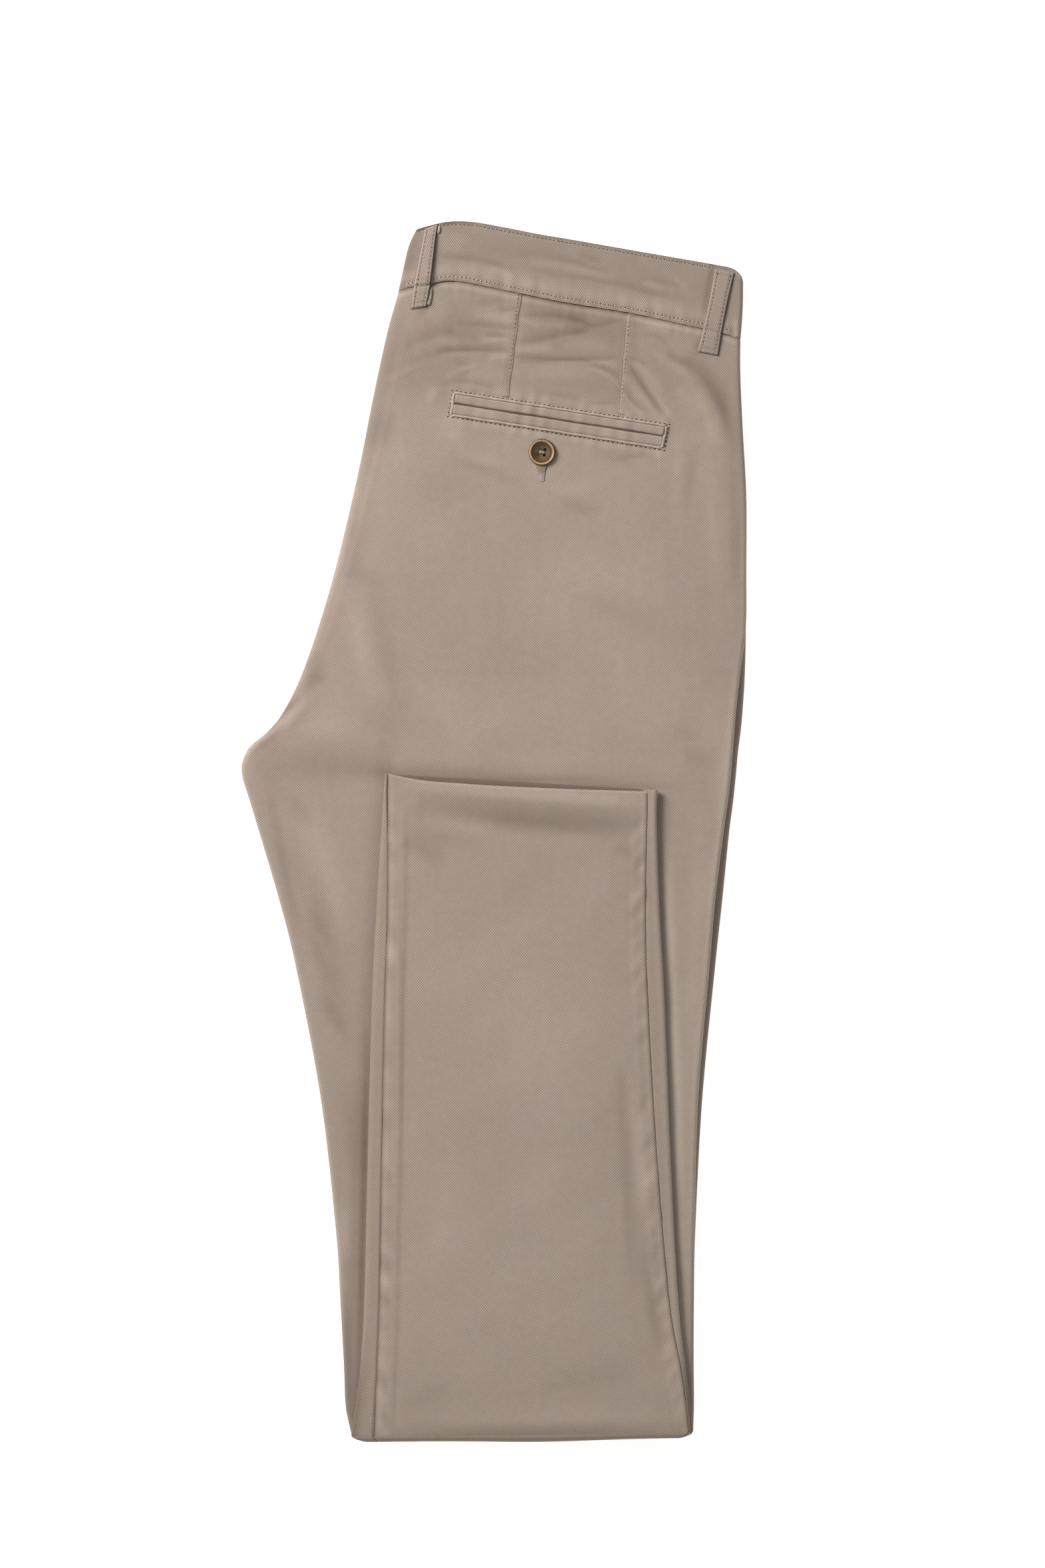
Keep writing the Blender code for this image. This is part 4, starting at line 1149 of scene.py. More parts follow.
# %% Making the right back panel
start, end = right_leg()
turn = knee(11, start, end, FOLD_RADIUS)
points = wrapped(joined(start, turn, end), -1, ACROSS)
thigh_rows, turned_rows = len(start["row"]), len(end["row"])
tone_and_shade = np.zeros(points.shape[:2])
tone_and_shade[:thigh_rows] = lay_thigh(points[:thigh_rows])
tone_and_shade[-turned_rows:] = lay_turned_up(points[-turned_rows:])
points, tone_and_shade = tucked_under(points, tone_and_shade)
uv = cloth_uv(points, SEAT_TURN)
right_back = add_panel("right_back_panel", points, uv, tone_and_shade, "right_back")

# %% [markdown]
# ## The right front panel
# It shows only on the turned-up leg, between the inseam on the left and the side seam on the
# right. Its hem is turned under, so the grid goes on round the edge and a little way back inside.

# %% Right front panel
HEM_ROUND, HEM_BACK = 0.95, 7.0
# Places across the leg, and how far the near hem stops short of the far one there.
HEM_SHORT = ((-70, -48, -20, 40, 98), (0.6, 3.8, 4.6, 4.2, 2.6))


def front(st, across):
    """Outer wall of the turned-up leg, between its two seams."""
    left = st["lx"] + st["left_reach"] + st["left_strip"] + st["gap"]
    right = st["rx"] - st["right_reach"] - st["right_strip"] - st["gap"]
    x = left + (right - left) * across
    return place(st, x, wall_out(st, x, 1))


def hem_roll(edge, before):
    """Rows that carry the hem's edge round half a circle and a little way back inside."""
    away = (edge - before) * (1.0, 1.0, 0.0)
    away = away / np.linalg.norm(away, axis=-1, keepdims=True)
    turn = np.linspace(0, math.pi, 8)[1:, None, None]
    rolled = edge + HEM_ROUND * (away * np.sin(turn) - np.array((0, 0, 1)) * (1 - np.cos(turn)))
    return np.concatenate([rolled, rolled[-1] - away * np.linspace(0, HEM_BACK, 4)[1:, None, None]])

# %% Making the right front panel
tail = thigh(rows_every(6.0, -341.0, y_fine[-1]), "right")
end = turned_up(np.linspace(0, len(FLAP) - 1, 240))
turn = knee(11, tail, end, FOLD_RADIUS)
points = front(joined(tail, turn, end), np.linspace(0, 1, 126))
shown = points[-len(end["row"]):]
short = curve(*HEM_SHORT, shown[..., 0])
shown[..., 1] -= short * eased(-14.0, 26.0, shown[..., 1])
x, y = shown[..., 0], shown[..., 1]
shown[..., 2] += flap_relief(x, y) * eased(-374, -340, y) + flap_lift(x, y)
tone_and_shade = np.zeros(points.shape[:2])
tone_and_shade[-len(end["row"]):] = flap_wear_and_shade(x, y)
hem = hem_roll(points[-1], points[-3])
points, tone_and_shade = np.concatenate([points, hem]), np.concatenate([tone_and_shade, 0 * hem[..., 0]])
uv = cloth_uv(points, mirror=-1)
right_front = add_panel("right_front_panel", points, uv, tone_and_shade, "right_front")

# %% [markdown]
# ## The left back panel
# It is the flat underside. Its creases are soft and few, because it has been pressed by what lies
# on it, and none reaches below the surface that it rests on.

# %% Left back panel
UNDER_CREASES = (
    (-60, 280, 120, 262, 2, 7, 0.45),
    (20, 150, 130, 118, 3, 9, 0.5),
    (-100, 60, -40, 30, 2, 8, 0.5),
    (-90, -60, -60, -220, 4, 8, 0.45),
    (60, -80, 84, -250, -3, 9, 0.45),
    (-60, -330, 60, -350, 2, 7, 0.35),
)


def left_leg():
    """Stations of the left leg: the thigh, and the start of the way up that its fold shows."""
    start = thigh(rows_every(4.2, y_fine[0], y_fine[-1]), "left")
    end = turned_up(np.linspace(0, 1.75, 10))
    end["middle"] = end["middle"] * 0 + LEFT_LEVEL + 2 * LEFT_FOLD_RADIUS
    end["crown_out"] = end["crown_out"] * 0
    for side in ("left", "right"):
        end[side + "_reach"] = end["row"] * 0 + EDGE_REACH
        end[side + "_strip"] = end["row"] * 0 + UNDER_STRIP
    near = eased(KNEE_ROW - 1, KNEE_ROW, start["row"])
    far = 1 - eased(0, 1, end["row"])
    for part, share in ((start, near), (end, far)):
        part["lx"], part["rx"] = part["lx"] + share, part["rx"] - share
        part["ly"], part["ry"] = part["ly"] + 1.6 * share, part["ry"] + 1.6 * share
    return start, end

# %% Making the left back panel
start, end = left_leg()
turn = knee(9, start, end, LEFT_FOLD_RADIUS)
points = wrapped(joined(start, turn, end), 1, np.linspace(0, 1, 72)[1:-1])
under = points[:len(start["row"])]
x, y = under[..., 0], under[..., 1]
inside = np.minimum(*from_edges(x))
lowest = under[..., 2] < under[..., 2].min(axis=1, keepdims=True) + 0.8
soft = np.maximum(creases(x, y, UNDER_CREASES) + 0.12 * ripple(x, y, 61, 50.0), 0)
under[..., 2] += soft * eased(10, 24, inside) * lowest
tone_and_shade = np.zeros(points.shape[:2])
tone_and_shade[:len(x)] = 0.4 * creases(x, y, UNDER_CREASES) * lowest
uv = cloth_uv(points, SEAT_TURN, -1)
left_back = add_panel("left_back_panel", points, uv, tone_and_shade, "left_back")

# %% [markdown]
# ## The layers between
# Inside the stack lie the two front panels and the turned-up lower half of the left leg. Only
# their edges can be seen, deep in the gaps at the sides, so they share one closed form, whose
# sides are grooved as a stack of folds is.

# %% Hidden layers
def hidden_stack(steps=37):
    """Rings of the stack. Along each side the height t runs from 0 to 1, and the inset from the
    edge follows the rounds of three stacked folds, each a sine to the power 0.6. Near the knee
    the stack narrows, and its top sinks to the left leg's fold."""
    rows = rows_every(6.0, y_fine[0] - 3.0, -366.0)
    upper, lower = thigh(rows, "right"), thigh(rows, "left")
    t = np.linspace(0, 1, steps)
    bulge = np.abs(np.sin(3 * math.pi * t)) ** 0.6
    inset = 2.4 - 1.4 * bulge - 0.6 * np.sqrt(np.clip(1 - (2 * t - 1) ** 8, 0, 1))
    y = (upper["ly"] + upper["ry"]) / 2
    narrow, gone = eased(320, 336, -y), eased(328, 340, -y)
    left = np.maximum(upper["lx"], lower["lx"]) + upper["left_reach"] + 2.2 + 1.8 * lower["inseam"]
    right = np.minimum(upper["rx"], lower["rx"]) - 4.2
    left_x, right_x = left + 4.9 * narrow + inset, right - 8.4 * narrow - inset
    low = lower["middle"] - TUBE_HALF + CLOTH / 2 + 0.3
    top = upper["middle"] + TUBE_HALF - CLOTH / 2 - 0.7
    top = top + (6.4 - top) * gone
    z = low + (top - low) * t
    share = np.linspace(0, 1, 22)[1:-1]
    over_x = right_x[:, -1:] + (left_x[:, -1:] - right_x[:, -1:]) * share
    crown = upper["crown_in"] * crown_shape(share_of(upper, over_x))
    under_x = left_x[:, :1] + (right_x[:, :1] - left_x[:, :1]) * share
    x = np.hstack([right_x, over_x, left_x[:, ::-1], under_x])
    over_y = place(upper, over_x, 0 * over_x)[..., 1]
    dented = np.minimum(seat_relief(over_x, over_y), 0)
    z = np.hstack([z, top + (0.96 * crown + dented) * (1 - gone), z[:, ::-1], low + 0 * under_x])
    ring = np.stack([x, place(upper, x, 0 * x)[..., 1], z], -1)
    return rounded_ends(ring, 1.6)

# %% Closed meshes
END_RINGS = (0.97, 0.86, 0.6, 0.3, 0.03)  # sizes of the rings that close a tube's end


def rounded_ends(ring, reach):
    """Closes a tube of rings: at each end, rings that shrink towards their middle while they go
    on by reach."""
    ends = []
    for index, way in ((0, ring[0] - ring[1]), (-1, ring[-1] - ring[-2])):
        middle = ring[index].mean(axis=0)
        onward = way.mean(axis=0)
        onward = onward / np.linalg.norm(onward)
        ends.append([middle + (ring[index] - middle) * s + onward * reach * math.sqrt(1 - s * s)
                     for s in END_RINGS])
    return np.concatenate([np.array(ends[0])[::-1], ring, np.array(ends[1])])


def closed_faces(rows, columns):
    """Quads of a tube of rings, and a face at each end."""
    faces = grid_faces(rows, columns, True).tolist()
    return faces + [list(range(columns))[::-1], list(range((rows - 1) * columns, rows * columns))]


def outward(mesh):
    """Turns every face of a closed mesh to point out."""
    work = bmesh.new()
    work.from_mesh(mesh)
    bmesh.ops.recalc_face_normals(work, faces=work.faces)
    work.to_mesh(mesh)
    work.free()
    return mesh


def closed_mesh(name, points, uv=None, tone_and_shade=None):
    """A mesh of rings of points, (rings, sides, 3), closed at both ends."""
    return outward(make_mesh(name, points, closed_faces(*points.shape[:2]), uv, tone_and_shade))

# %% Making the hidden layers
points = hidden_stack()
# painted shade: the hidden layers are darker all over, as they lie deep in the gaps
mesh = closed_mesh("hidden_stack", points, cloth_uv(points), np.full(points.shape[:2], -0.25))
hidden = add_piece("hidden_stack", mesh, CLOTH_FINISH, "cloth", "hidden_layers")

# %% [markdown]
# ## The waistband
# A long interlined strip, stitched close to its top edge and close to its seam. Each half goes
# round the side and comes back inside. The stitches sit in narrow grooves, so the grid has extra
# lines there.

# %% Waistband
BAND_TALL, STITCH_IN, SEAM_STITCH = 36.6, 2.1, 2.3  # height, and where its two rows lie
BAND_UP = np.concatenate([
    (0.0, 0.45, 0.9, 1.3, 1.7, 2.1, 2.6, 3.4), np.arange(4.6, 32.5, 1.45),
    (33.0, 33.6, 34.1, 34.5, 34.9, 35.3, 35.9, 36.6),
]) / BAND_TALL
# Rows of bells, up from the waist seam.
BAND_RELIEF = ((0, 0.9, -0.45), (SEAM_STITCH, 0.7, -0.28), (BAND_TALL - STITCH_IN, 0.7, -0.28))
# painted light on the ridge above the seam, paler lower third, painted shade along the top edge
BAND_SHADE_AND_WEAR = ((0, 0.8, 0.5), (6.5, 4.5, 0.40), (BAND_TALL, 0.7, -0.60))
SLIVER = (-35.0, -13.0, 0.6)  # where the under half's top edge peeps out, and how far
BAND_CREASES = (
    (-36, 359, 16, 350, 2.3, 2.2, -0.30),
    (-10, 364, 50, 356, 0, 4.5, -0.22),
    (32, 360, 74, 348.5, 0.3, 1.8, -0.24),
    (22, 352.5, 46, 346.5, -0.7, 2, -0.22),
    (43, 347, 75, 342, 1, 1.8, -0.24),
    (66, 345, 120, 331.5, -0.3, 2, -0.26),
    (92, 346.5, 109, 342.5, 0, 1.8, -0.22),
    (104, 342.5, 118, 339, 1.6, 1.8, -0.20),
    (76, 349, 92, 340, -1.4, 6, -0.12),
    (53, 360.5, 68, 355.5, 0, 1.8, -0.20),
    (37, 354, 76, 344.5, 0.3, 2.5, 0.26),
    (22, 356.5, 42, 354.5, -1, 2.5, 0.22),
    (92, 343, 107, 338, 0.3, 2.5, 0.24),
    (-4, 352, 14, 345.5, 0, 1.8, 0.22),
    (-24, 360, -21, 374, 0, 8, 0.40),
    (104, 351, 124, 331, 3, 1.8, 0.16),
)

# %% Places on the waistband
def band_line(up):
    """Ends of the band's cross lines: up is 0 at the waist seam and 1 at the top edge."""
    low = {k: OUTLINE[0, i] for i, k in enumerate(("left_x", "left_y", "right_x", "right_y"))}
    at = {k: low[k] + (BAND_TOP[k] - low[k]) * up for k in low}
    swell = 0.5 * np.sin(math.pi * up)
    drawn_in = 3.0 * np.clip((up - 0.6) / 0.4, 0, 1) ** 2
    return dict(
        lx=at["left_x"] + drawn_in + BAND_CLOTH / 2, rx=at["right_x"] + swell - BAND_CLOTH / 2,
        ly=at["left_y"] + SEAM_GAP * (1 - up), ry=at["right_y"] + SEAM_GAP * (1 - up),
        rise=lambda share, row: bow(share, -row),
    )


def band_xy(share, up):
    """Where a share of the band's width and of its height lies."""
    st = band_line(up)
    return np.stack([st["lx"] + (st["rx"] - st["lx"]) * share,
                     line_y(st, share) + bow(share, -up)], -1)

# %% Relief, wear and painted shade of the waistband
def band_relief(x, up, share):
    """Grooves of the two rows of stitches, the puckers beside them, and a belt's soft creases."""
    h = up * BAND_TALL
    y = band_xy(share, up + 0 * share)[..., 1]
    return (
        bells(h, BAND_RELIEF) + creases(x, y, BAND_CREASES) + 0.10 * ripple(x, y, 73, 30)
        + 0.17 * pucker(x, np.maximum(h - 2.5, 0), 6.5, 6.5, 71)
        + 0.08 * pucker(x, BAND_TALL - h, 7.5, 4.5, 72)
    )


LOOP_SHADE = 0.884  # where the dark beside the side loop meets the seam, across the band


def band_wear_and_shade(x, up, share):
    """Pale beside the seam, with painted light on its ridge; painted shade along the top edge, at
    the rolled end and beside the side loop; and the abrasion and painted shade of the belt's creases.
    """
    h = up * BAND_TALL
    y = band_xy(share, up + 0 * share)[..., 1]
    return (
        1.05 * rubbed_and_shaded(x, y, BAND_CREASES) - 0.25 + bells(h, BAND_SHADE_AND_WEAR)
        - 0.75 * (1 - eased(0.005, 0.055, share))
        - 0.55 * bell(share - LOOP_SHADE - 0.026 * up, 0.009)
        - 0.60 * bell(h - BAND_TALL, 2.4) * (1 - eased(0.09, 0.20, share))
        + 0.14 * pucker(x, np.maximum(h - 2.5, 0), 6.5, 6.0, 71)
    )

# %% Shape of the waistband
BAND_DEEP = (BAND_LEVEL["right_back"] - BAND_LEVEL["left_back"]) / 2


def band_height(x, y):
    """Height of the right half's outer face, with the quarter ellipse of its rolled end."""
    x, y = np.broadcast_arrays(np.asarray(x, float), np.asarray(y, float))
    up = find_row(band_line, x, y, 0.0, 1.0, True)
    st = band_line(up)
    share = share_of(st, x)
    into = np.clip((st["lx"] + OUTLINE[0, 5] - x) / OUTLINE[0, 5], 0, 0.999)
    rolled = BAND_DEEP * (1 - np.sqrt(1 - into ** 2))
    return BAND_LEVEL["right_back"] + band_relief(x, up, share) + BAND_CLOTH / 2 - rolled


def band_points(side):
    """Half of the waistband: its rolled end at the seat seam, its back, the turn round the side
    and the front half, which is hidden."""
    up = column(BAND_UP)
    st = band_line(up)
    back, front_level = BAND_LEVEL[side + "_back"], BAND_LEVEL[side + "_front"]
    over = 1 if side == "right" else -1
    roll = OUTLINE[0, 5]
    q = (math.pi / 2) * (1 - (1 - np.linspace(1, 0, 11)[:-1]) ** 2)
    end_x = st["lx"] + roll * (1 - np.sin(q))
    end_z = back - over * (BAND_DEEP - SEAM_GAP / 2) * (1 - np.cos(q)) + 0 * up
    start, stop = st["lx"] + roll, st["rx"] - EDGE_REACH
    columns = np.concatenate([np.linspace(0, 0.92, 112)[:-1], np.linspace(0.92, 1, 22)])
    back_x = start + (stop - start) * columns
    t = np.linspace(0, math.pi, 17)[1:-1]
    side_x = stop + EDGE_REACH * np.sin(t)
    side_z = (back + front_level) / 2 + (back - front_level) / 2 * np.cos(t) + 0 * up
    inner_x = stop + (start + 4 - stop) * np.linspace(0, 1, 24)
    x = np.hstack([end_x, back_x, side_x, inner_x])
    z = np.hstack([end_z, back + 0 * back_x, side_z, front_level + 0 * inner_x])
    share = share_of(st, x)
    outer = np.arange(x.shape[1]) < 10 + len(back_x[0])
    z = z + band_relief(x, up, share) * outer * (1 if side == "right" else -0.35)
    y = line_y(st, share) + bow(share, -up)
    if side == "left":
        middle, half = (SLIVER[0] + SLIVER[1]) / 2, (SLIVER[1] - SLIVER[0]) / 2
        y = y + SLIVER[2] * np.exp(-((x - middle) / half) ** 4) * up ** 4 * outer
    # the under half is darker, with painted shade
    worn_and_shaded = band_wear_and_shade(x, up, share) - (0.6 if side == "left" else 0.0)
    return np.stack([x, y, z], -1), worn_and_shaded * outer

# %% Making the waistband
for side in ("right", "left"):
    points, tone_and_shade = band_points(side)
    uv = cloth_uv(points, BAND_TURN, -1 if side == "right" else 1)
    add_panel("waistband_half_" + side, points, uv, tone_and_shade, "waistband_" + side,
                            BAND_FINISH, BAND_CLOTH, 0.7)

# %% [markdown]
# ## Strips laid on the cloth
# Belt loops, the pocket's welts, its turned-in edge and the folds of the darts are narrow strips
# lying on other pieces. One function carries a closed cross section along a path: at each place
# along, the section's width runs to the side, and its height is added to the surface underneath.

# %% Strips
def path_runs(path):
    """Distance along a path, and its direction, at each of its points."""
    path = np.asarray(path, float)
    run = np.concatenate([[0], np.cumsum(np.linalg.norm(np.diff(path, axis=0), axis=1))])
    tangent = np.gradient(path, axis=0)
    return run, tangent / np.linalg.norm(tangent, axis=1, keepdims=True)


def left_of(ways):
    """Directions a quarter turn to the left of others."""
    return np.stack([-ways[:, 1], ways[:, 0]], -1)


def strip(path, across, height, base, end=0.0, wide=1.0, slant=0.0):
    """Rings of a strip along its middle line, (n, 2). across and height are its cross section, a
    closed loop; base gives the surface's height; end is how far in from each end the height
    falls, as a quarter circle; wide scales the width at each point of the path; and slant is how
    far a ring runs down the path for each step to its side."""
    run, tangent = path_runs(path)
    side = -left_of(tangent)
    spread = np.asarray(across)[None] * np.reshape(wide, (-1, 1)) + 0 * run[:, None]
    spots = np.asarray(path)[:, None] + side[:, None] * spread[..., None]
    spots = spots + tangent[:, None] * (spread * np.reshape(slant, (-1, 1)))[..., None]
    near = np.minimum(run, run[-1] - run)[:, None]
    full = np.sqrt(1 - (1 - np.clip(near / end, 0, 1)) ** 2) if end else 1.0
    z = base(spots[..., 0], spots[..., 1]) + np.asarray(height) * full
    return np.concatenate([spots, z[..., None]], -1), run


def section(half_wide, thick, points=9, sunk=0.2, power=6, top=None):
    """Closed cross section with a flat underside. Its top is 1 - |a|^power of the thickness,
    which is flat in the middle and rounded at the edges, plus anything that top adds."""
    a = np.linspace(-1, 1, points)
    upper = thick * (1 - np.abs(a) ** power) + (top(a * half_wide) if top else 0)
    return np.concatenate([a, a[::-1]]) * half_wide, np.concatenate([upper, np.full(points, -sunk)])


def grain(rings, turn=SEAT_TURN):
    """The cloth's place under each point, seen from above, with the grain turned by an angle."""
    return turned(rings[..., 0], rings[..., 1], turn)


def add_strip(name, rings, uv, finish, tone_and_shade, *nodes):
    """A closed piece of cloth from a strip's rings."""
    mesh = closed_mesh(name, rings, uv, np.broadcast_to(tone_and_shade, rings.shape[:2]))
    return add_piece(name, mesh, finish, "cloth", *nodes)


def doubled(values, under=0.0):
    """Values over a section's top, and one value under it."""
    values = np.asarray(values, float)
    return np.concatenate([values, np.full(len(values), under)])


# %% [markdown]
# ## The back pocket
# A double-welt pocket: a slit, a narrow folded welt above and below it, and the panel's edge
# turned in around both and stitched down. The welts are cut across the grain, so their weave
# runs the other way. In the slit the lining lies in shadow, painted as a thin dark strip.

# %% Welts, and the lining's painted shade
POCKET_TURN = math.atan2(POCKET_ALONG[1], POCKET_ALONG[0])
WELT_FINISH = cloth_finish("cotton welt", math.radians(90), 0.97, 0.6)
SLIT_SHADE_FINISH = cloth_finish("pocket slit shade", tone=0.3, depth=0.3)


def pocket_spot(p, q):
    """Spots at distances p along the pocket from its middle, and q up from its slit."""
    return POCKET_MIDDLE + np.multiply.outer(p, POCKET_ALONG) + np.multiply.outer(q, POCKET_UP)


EDGE_FINISH = cloth_finish("turned-in edge", depth=0.45)


def slit_gape(p):
    """How far the lower welt sags open: most in the left half, with a slight waver."""
    return 0.22 * bell(p + 28, 18) + 0.06 * np.sin(p / 6.0) + 0.07 * np.sin(p / 15.0) - 0.06


p = np.linspace(-POCKET_LONG / 2 - 0.4, POCKET_LONG / 2 + 0.4, 130)
a = np.linspace(-1, 1, 11)
for name, way, wide in (("pocket_welt_strip_upper", 1, WELT_UPPER),
                        ("pocket_welt_strip_lower", -1, WELT_LOWER)):
    lip = way * SLIT / 2 - (slit_gape(p) if way < 0 else 0.12 * np.sin(p / 9.0))
    outer = way * (SLIT / 2 + wide + 0.4)
    across, height = section(1.0, 0.95, 11, 0.3, 5)
    rings, run = strip(pocket_spot(p, (lip + outer) / 2), across, height, seat_height,
                       wide=np.abs(outer - lip) / 2)
    rings[..., 2] += 0.10 * pucker(run, 0 * run, 11.0, 4.0, 81 + way)[:, None]
    lip_side = a * -way
    # painted shade at each welt's lip, into the slit, and underneath; paler along its outer fold
    tone_and_shade = doubled(0.30 * bell(lip_side - 0.9, 0.16)
                   - 1.1 * bell(lip_side + 1.0, 0.10) - 0.03, -0.8)
    tone_and_shade = tone_and_shade + 0.10 * ripple(run, 0 * run, 84 + way, 16.0)[:, None]
    add_strip(name, rings, grain(rings, POCKET_TURN), WELT_FINISH, tone_and_shade,
              "pocket_welt_" + ("upper" if way > 0 else "lower"))

# The lining in the slit: a thin strip, dark with painted shade
across, height = section(1.2, 0.12, 5)
rings, _ = strip(pocket_spot(p, 0 * p - 0.5), across, height, seat_height)
add_strip("pocket_slit_shade", rings, grain(rings), SLIT_SHADE_FINISH, -2.0)

# %% Turned-in edge round the welts
def pocket_edge_sides():
    """The four sides of the turned-in edge, as places along the pocket and up from its slit."""
    long, top = POCKET_LONG / 2 + 1.2, SLIT / 2 + WELT_UPPER + 1.0
    low = -(SLIT / 2 + WELT_LOWER + 1.0)
    corners = ((-long - 0.3, top), (long + 0.4, top), (long - 0.6, low), (-long + 0.1, low))
    for (p0, q0), (p1, q1) in zip(corners, corners[1:] + corners[:1]):
        t = np.linspace(0, 1, 130 if abs(p1 - p0) > 20 else 22)
        yield p0 + (p1 - p0) * t, q0 + (q1 - q0) * t


for number, (p, q) in enumerate(pocket_edge_sides()):
    upright = number % 2 == 1
    waver = 0.16 if upright else 0.07
    across, height = section(1.15 if upright else 0.95, 1.0, 9, 0.3, 2.6)
    path = pocket_spot(p + upright * waver * np.sin(q / 1.3 + number),
                       q + (not upright) * waver * np.sin(p / 2.9 + number))
    rings, run = strip(path, across, height, seat_height, 0.7)
    # paler along the raised top, abraded and painted light; painted shade down its sides and underneath
    tone_and_shade = doubled(0.50 - 1.2 * np.abs(np.linspace(-1, 1, 9)) ** 6, -0.5)
    add_strip("pocket_edge_%d" % number, rings, grain(rings), EDGE_FINISH,
              tone_and_shade + 0.10 * np.sin(run / 1.7 + number)[:, None])

# %% [markdown]
# ## The darts
# Two darts take in the waist above the pocket. A dart is a fold stitched down: along its seam the
# cloth steps up onto the fold's thickness, which thins away to one side. A strip with a wedge for
# its section gives that step, in the panel's own grain.

# %% Darts
FOLD_WIDE, FOLD_STEP = 5.2, 0.20
for number, (waist_end, pocket_end, way) in enumerate(DARTS):
    t = np.linspace(0.02, 0.985, 60)
    path = straight(waist_end, pocket_end, t)
    path[:, 0] += 0.22 * np.sin(t * 21 + number)
    out = np.array((-0.35, -0.20, 0.05, 0.30, 0.60, 1.2, 2.4, 3.6, FOLD_WIDE))
    lift = np.array((-0.5, 0.3, 0.5, 0.9, 1.0, 0.8, 0.4, 0.0, -0.8)) * FOLD_STEP
    # painted shade in the dart's seam, and painted light on the step beside it
    shade = np.array((-0.9, -1.1, -0.9, 0.0, 0.22, 0.10, 0.0, 0.0, 0.0))
    across = -way * np.concatenate([out, out[::-1]])
    rings, run = strip(path, across, np.concatenate([lift, lift * 0 - 0.15]), seat_height)
    tone_and_shade = np.concatenate([shade, shade * 0]) + seat_wear_and_shade(rings[..., 0], rings[..., 1])
    add_strip("dart_fold_%d" % number, rings, grain(rings), CLOTH_FINISH, tone_and_shade)

# %% [markdown]
# ## The belt loops
# A loop is a strip with its edges turned in and two rows of stitches, bar-tacked across near each
# end. The one at the back seam was sewn on a curve, so it puffs up, its right edge stands off the
# band, and the turned-under ends show beside it.

# %% Belt loops
LOOP_FINISH = cloth_finish("cotton loop", math.radians(-8.0), 0.90, 0.75)
LOOP_THICK, UNDER_LOOP_THICK = 1.2, 1.25
BAR_FROM_TOP, BAR_FROM_END = 2.4, 3.0
# A loop's shares across the band at the seam and at the top edge; how far up the band it reaches;
# its tail below the seam; half its width; its stitches from its middle; and its width, as shares,
# at five places down its length.
LOOPS = {
    "back": dict(at_seam=0.066, at_top=0.0445, top=0.972, tail=15.0, half=5.3, stitch=3.1,
                 narrow=(0.74, 0.78, 0.88, 0.99, 0.93)),
    "side": dict(at_seam=0.922, at_top=0.948, top=0.928, tail=15.2, half=6.7, stitch=4.3,
                 narrow=(0.97, 0.91, 0.885, 0.93, 1.04)),
}


def loop_path(at_seam, at_top, top, tail, steps=60, **_):
    """Middle line of a loop: straight down the band from its top edge, and on past the seam."""
    upper, seam = band_xy(np.array(at_top), np.array(top)), band_xy(np.array(at_seam), np.array(0.0))
    length = np.hypot(*(seam - upper))
    return straight(upper, seam, np.linspace(0, 1 + tail / length, steps))


def loop_slant(name, run):
    """The back loop was sewn on askew: its right edge lies higher than its left."""
    return 0.30 + 0.25 * (1 - run / run[-1]) if name == "back" else 0.0 * run


def loop_narrow(name, run):
    """Width of a loop along its length, as a share: drawn in between its two bar tacks."""
    return curve((0, 0.2, 0.45, 0.75, 1.0), LOOPS[name]["narrow"], run / run[-1])


def bars(run):
    """Dips across a loop at its two bar tacks."""
    return bell(run - BAR_FROM_TOP, 0.8) + bell(run - run[-1] + BAR_FROM_END, 0.8)

# %% What a loop lies on
def under_loop(x, y):
    """Height of whatever a loop lies on: the waistband, or the seat below the seam."""
    return np.where(y > waist_seam_y(x), band_height(x, y), seat_height(x, y))


def loop_surface(name, path):
    """Base for a loop: partly level across its width, so that it bridges the hollows, and lifted
    between its ends by half a wave, on the back loop most of all along its right edge."""
    def base(x, y):
        z = under_loop(x, y)
        flat = z.mean(axis=1, keepdims=True) if z.ndim > 1 else z
        t = np.clip((path[0, 1] - y) / (path[0, 1] - path[-1, 1]), 0, 1)
        arch = np.sin(math.pi * t) ** 0.7
        if name == "side":
            return z * 0.5 + flat * 0.5 + 0.4 * arch
        middle = np.interp(-y, -path[:, 1], path[:, 0])
        right = np.clip((x - middle) / LOOPS["back"]["half"], -1, 1)
        return z * 0.8 + flat * 0.2 + arch * (0.5 + 0.45 * right + 0.2 * right ** 2) + 0.15
    return base


def loop_uv(run, across):
    """The cloth of a loop runs down its length."""
    return np.stack([0 * run[:, None] - across[None], -run[:, None] + 0 * across[None]], -1)


def loop_top(half, stitch):
    """Top of a loop's section: turned-in edges a little thicker, and grooves for the stitches."""
    def top(a):
        return (-0.26 * bell(np.abs(a) - stitch, 0.6)
                + 0.14 * bell(np.abs(a) - half + 0.9, 0.8))
    return top

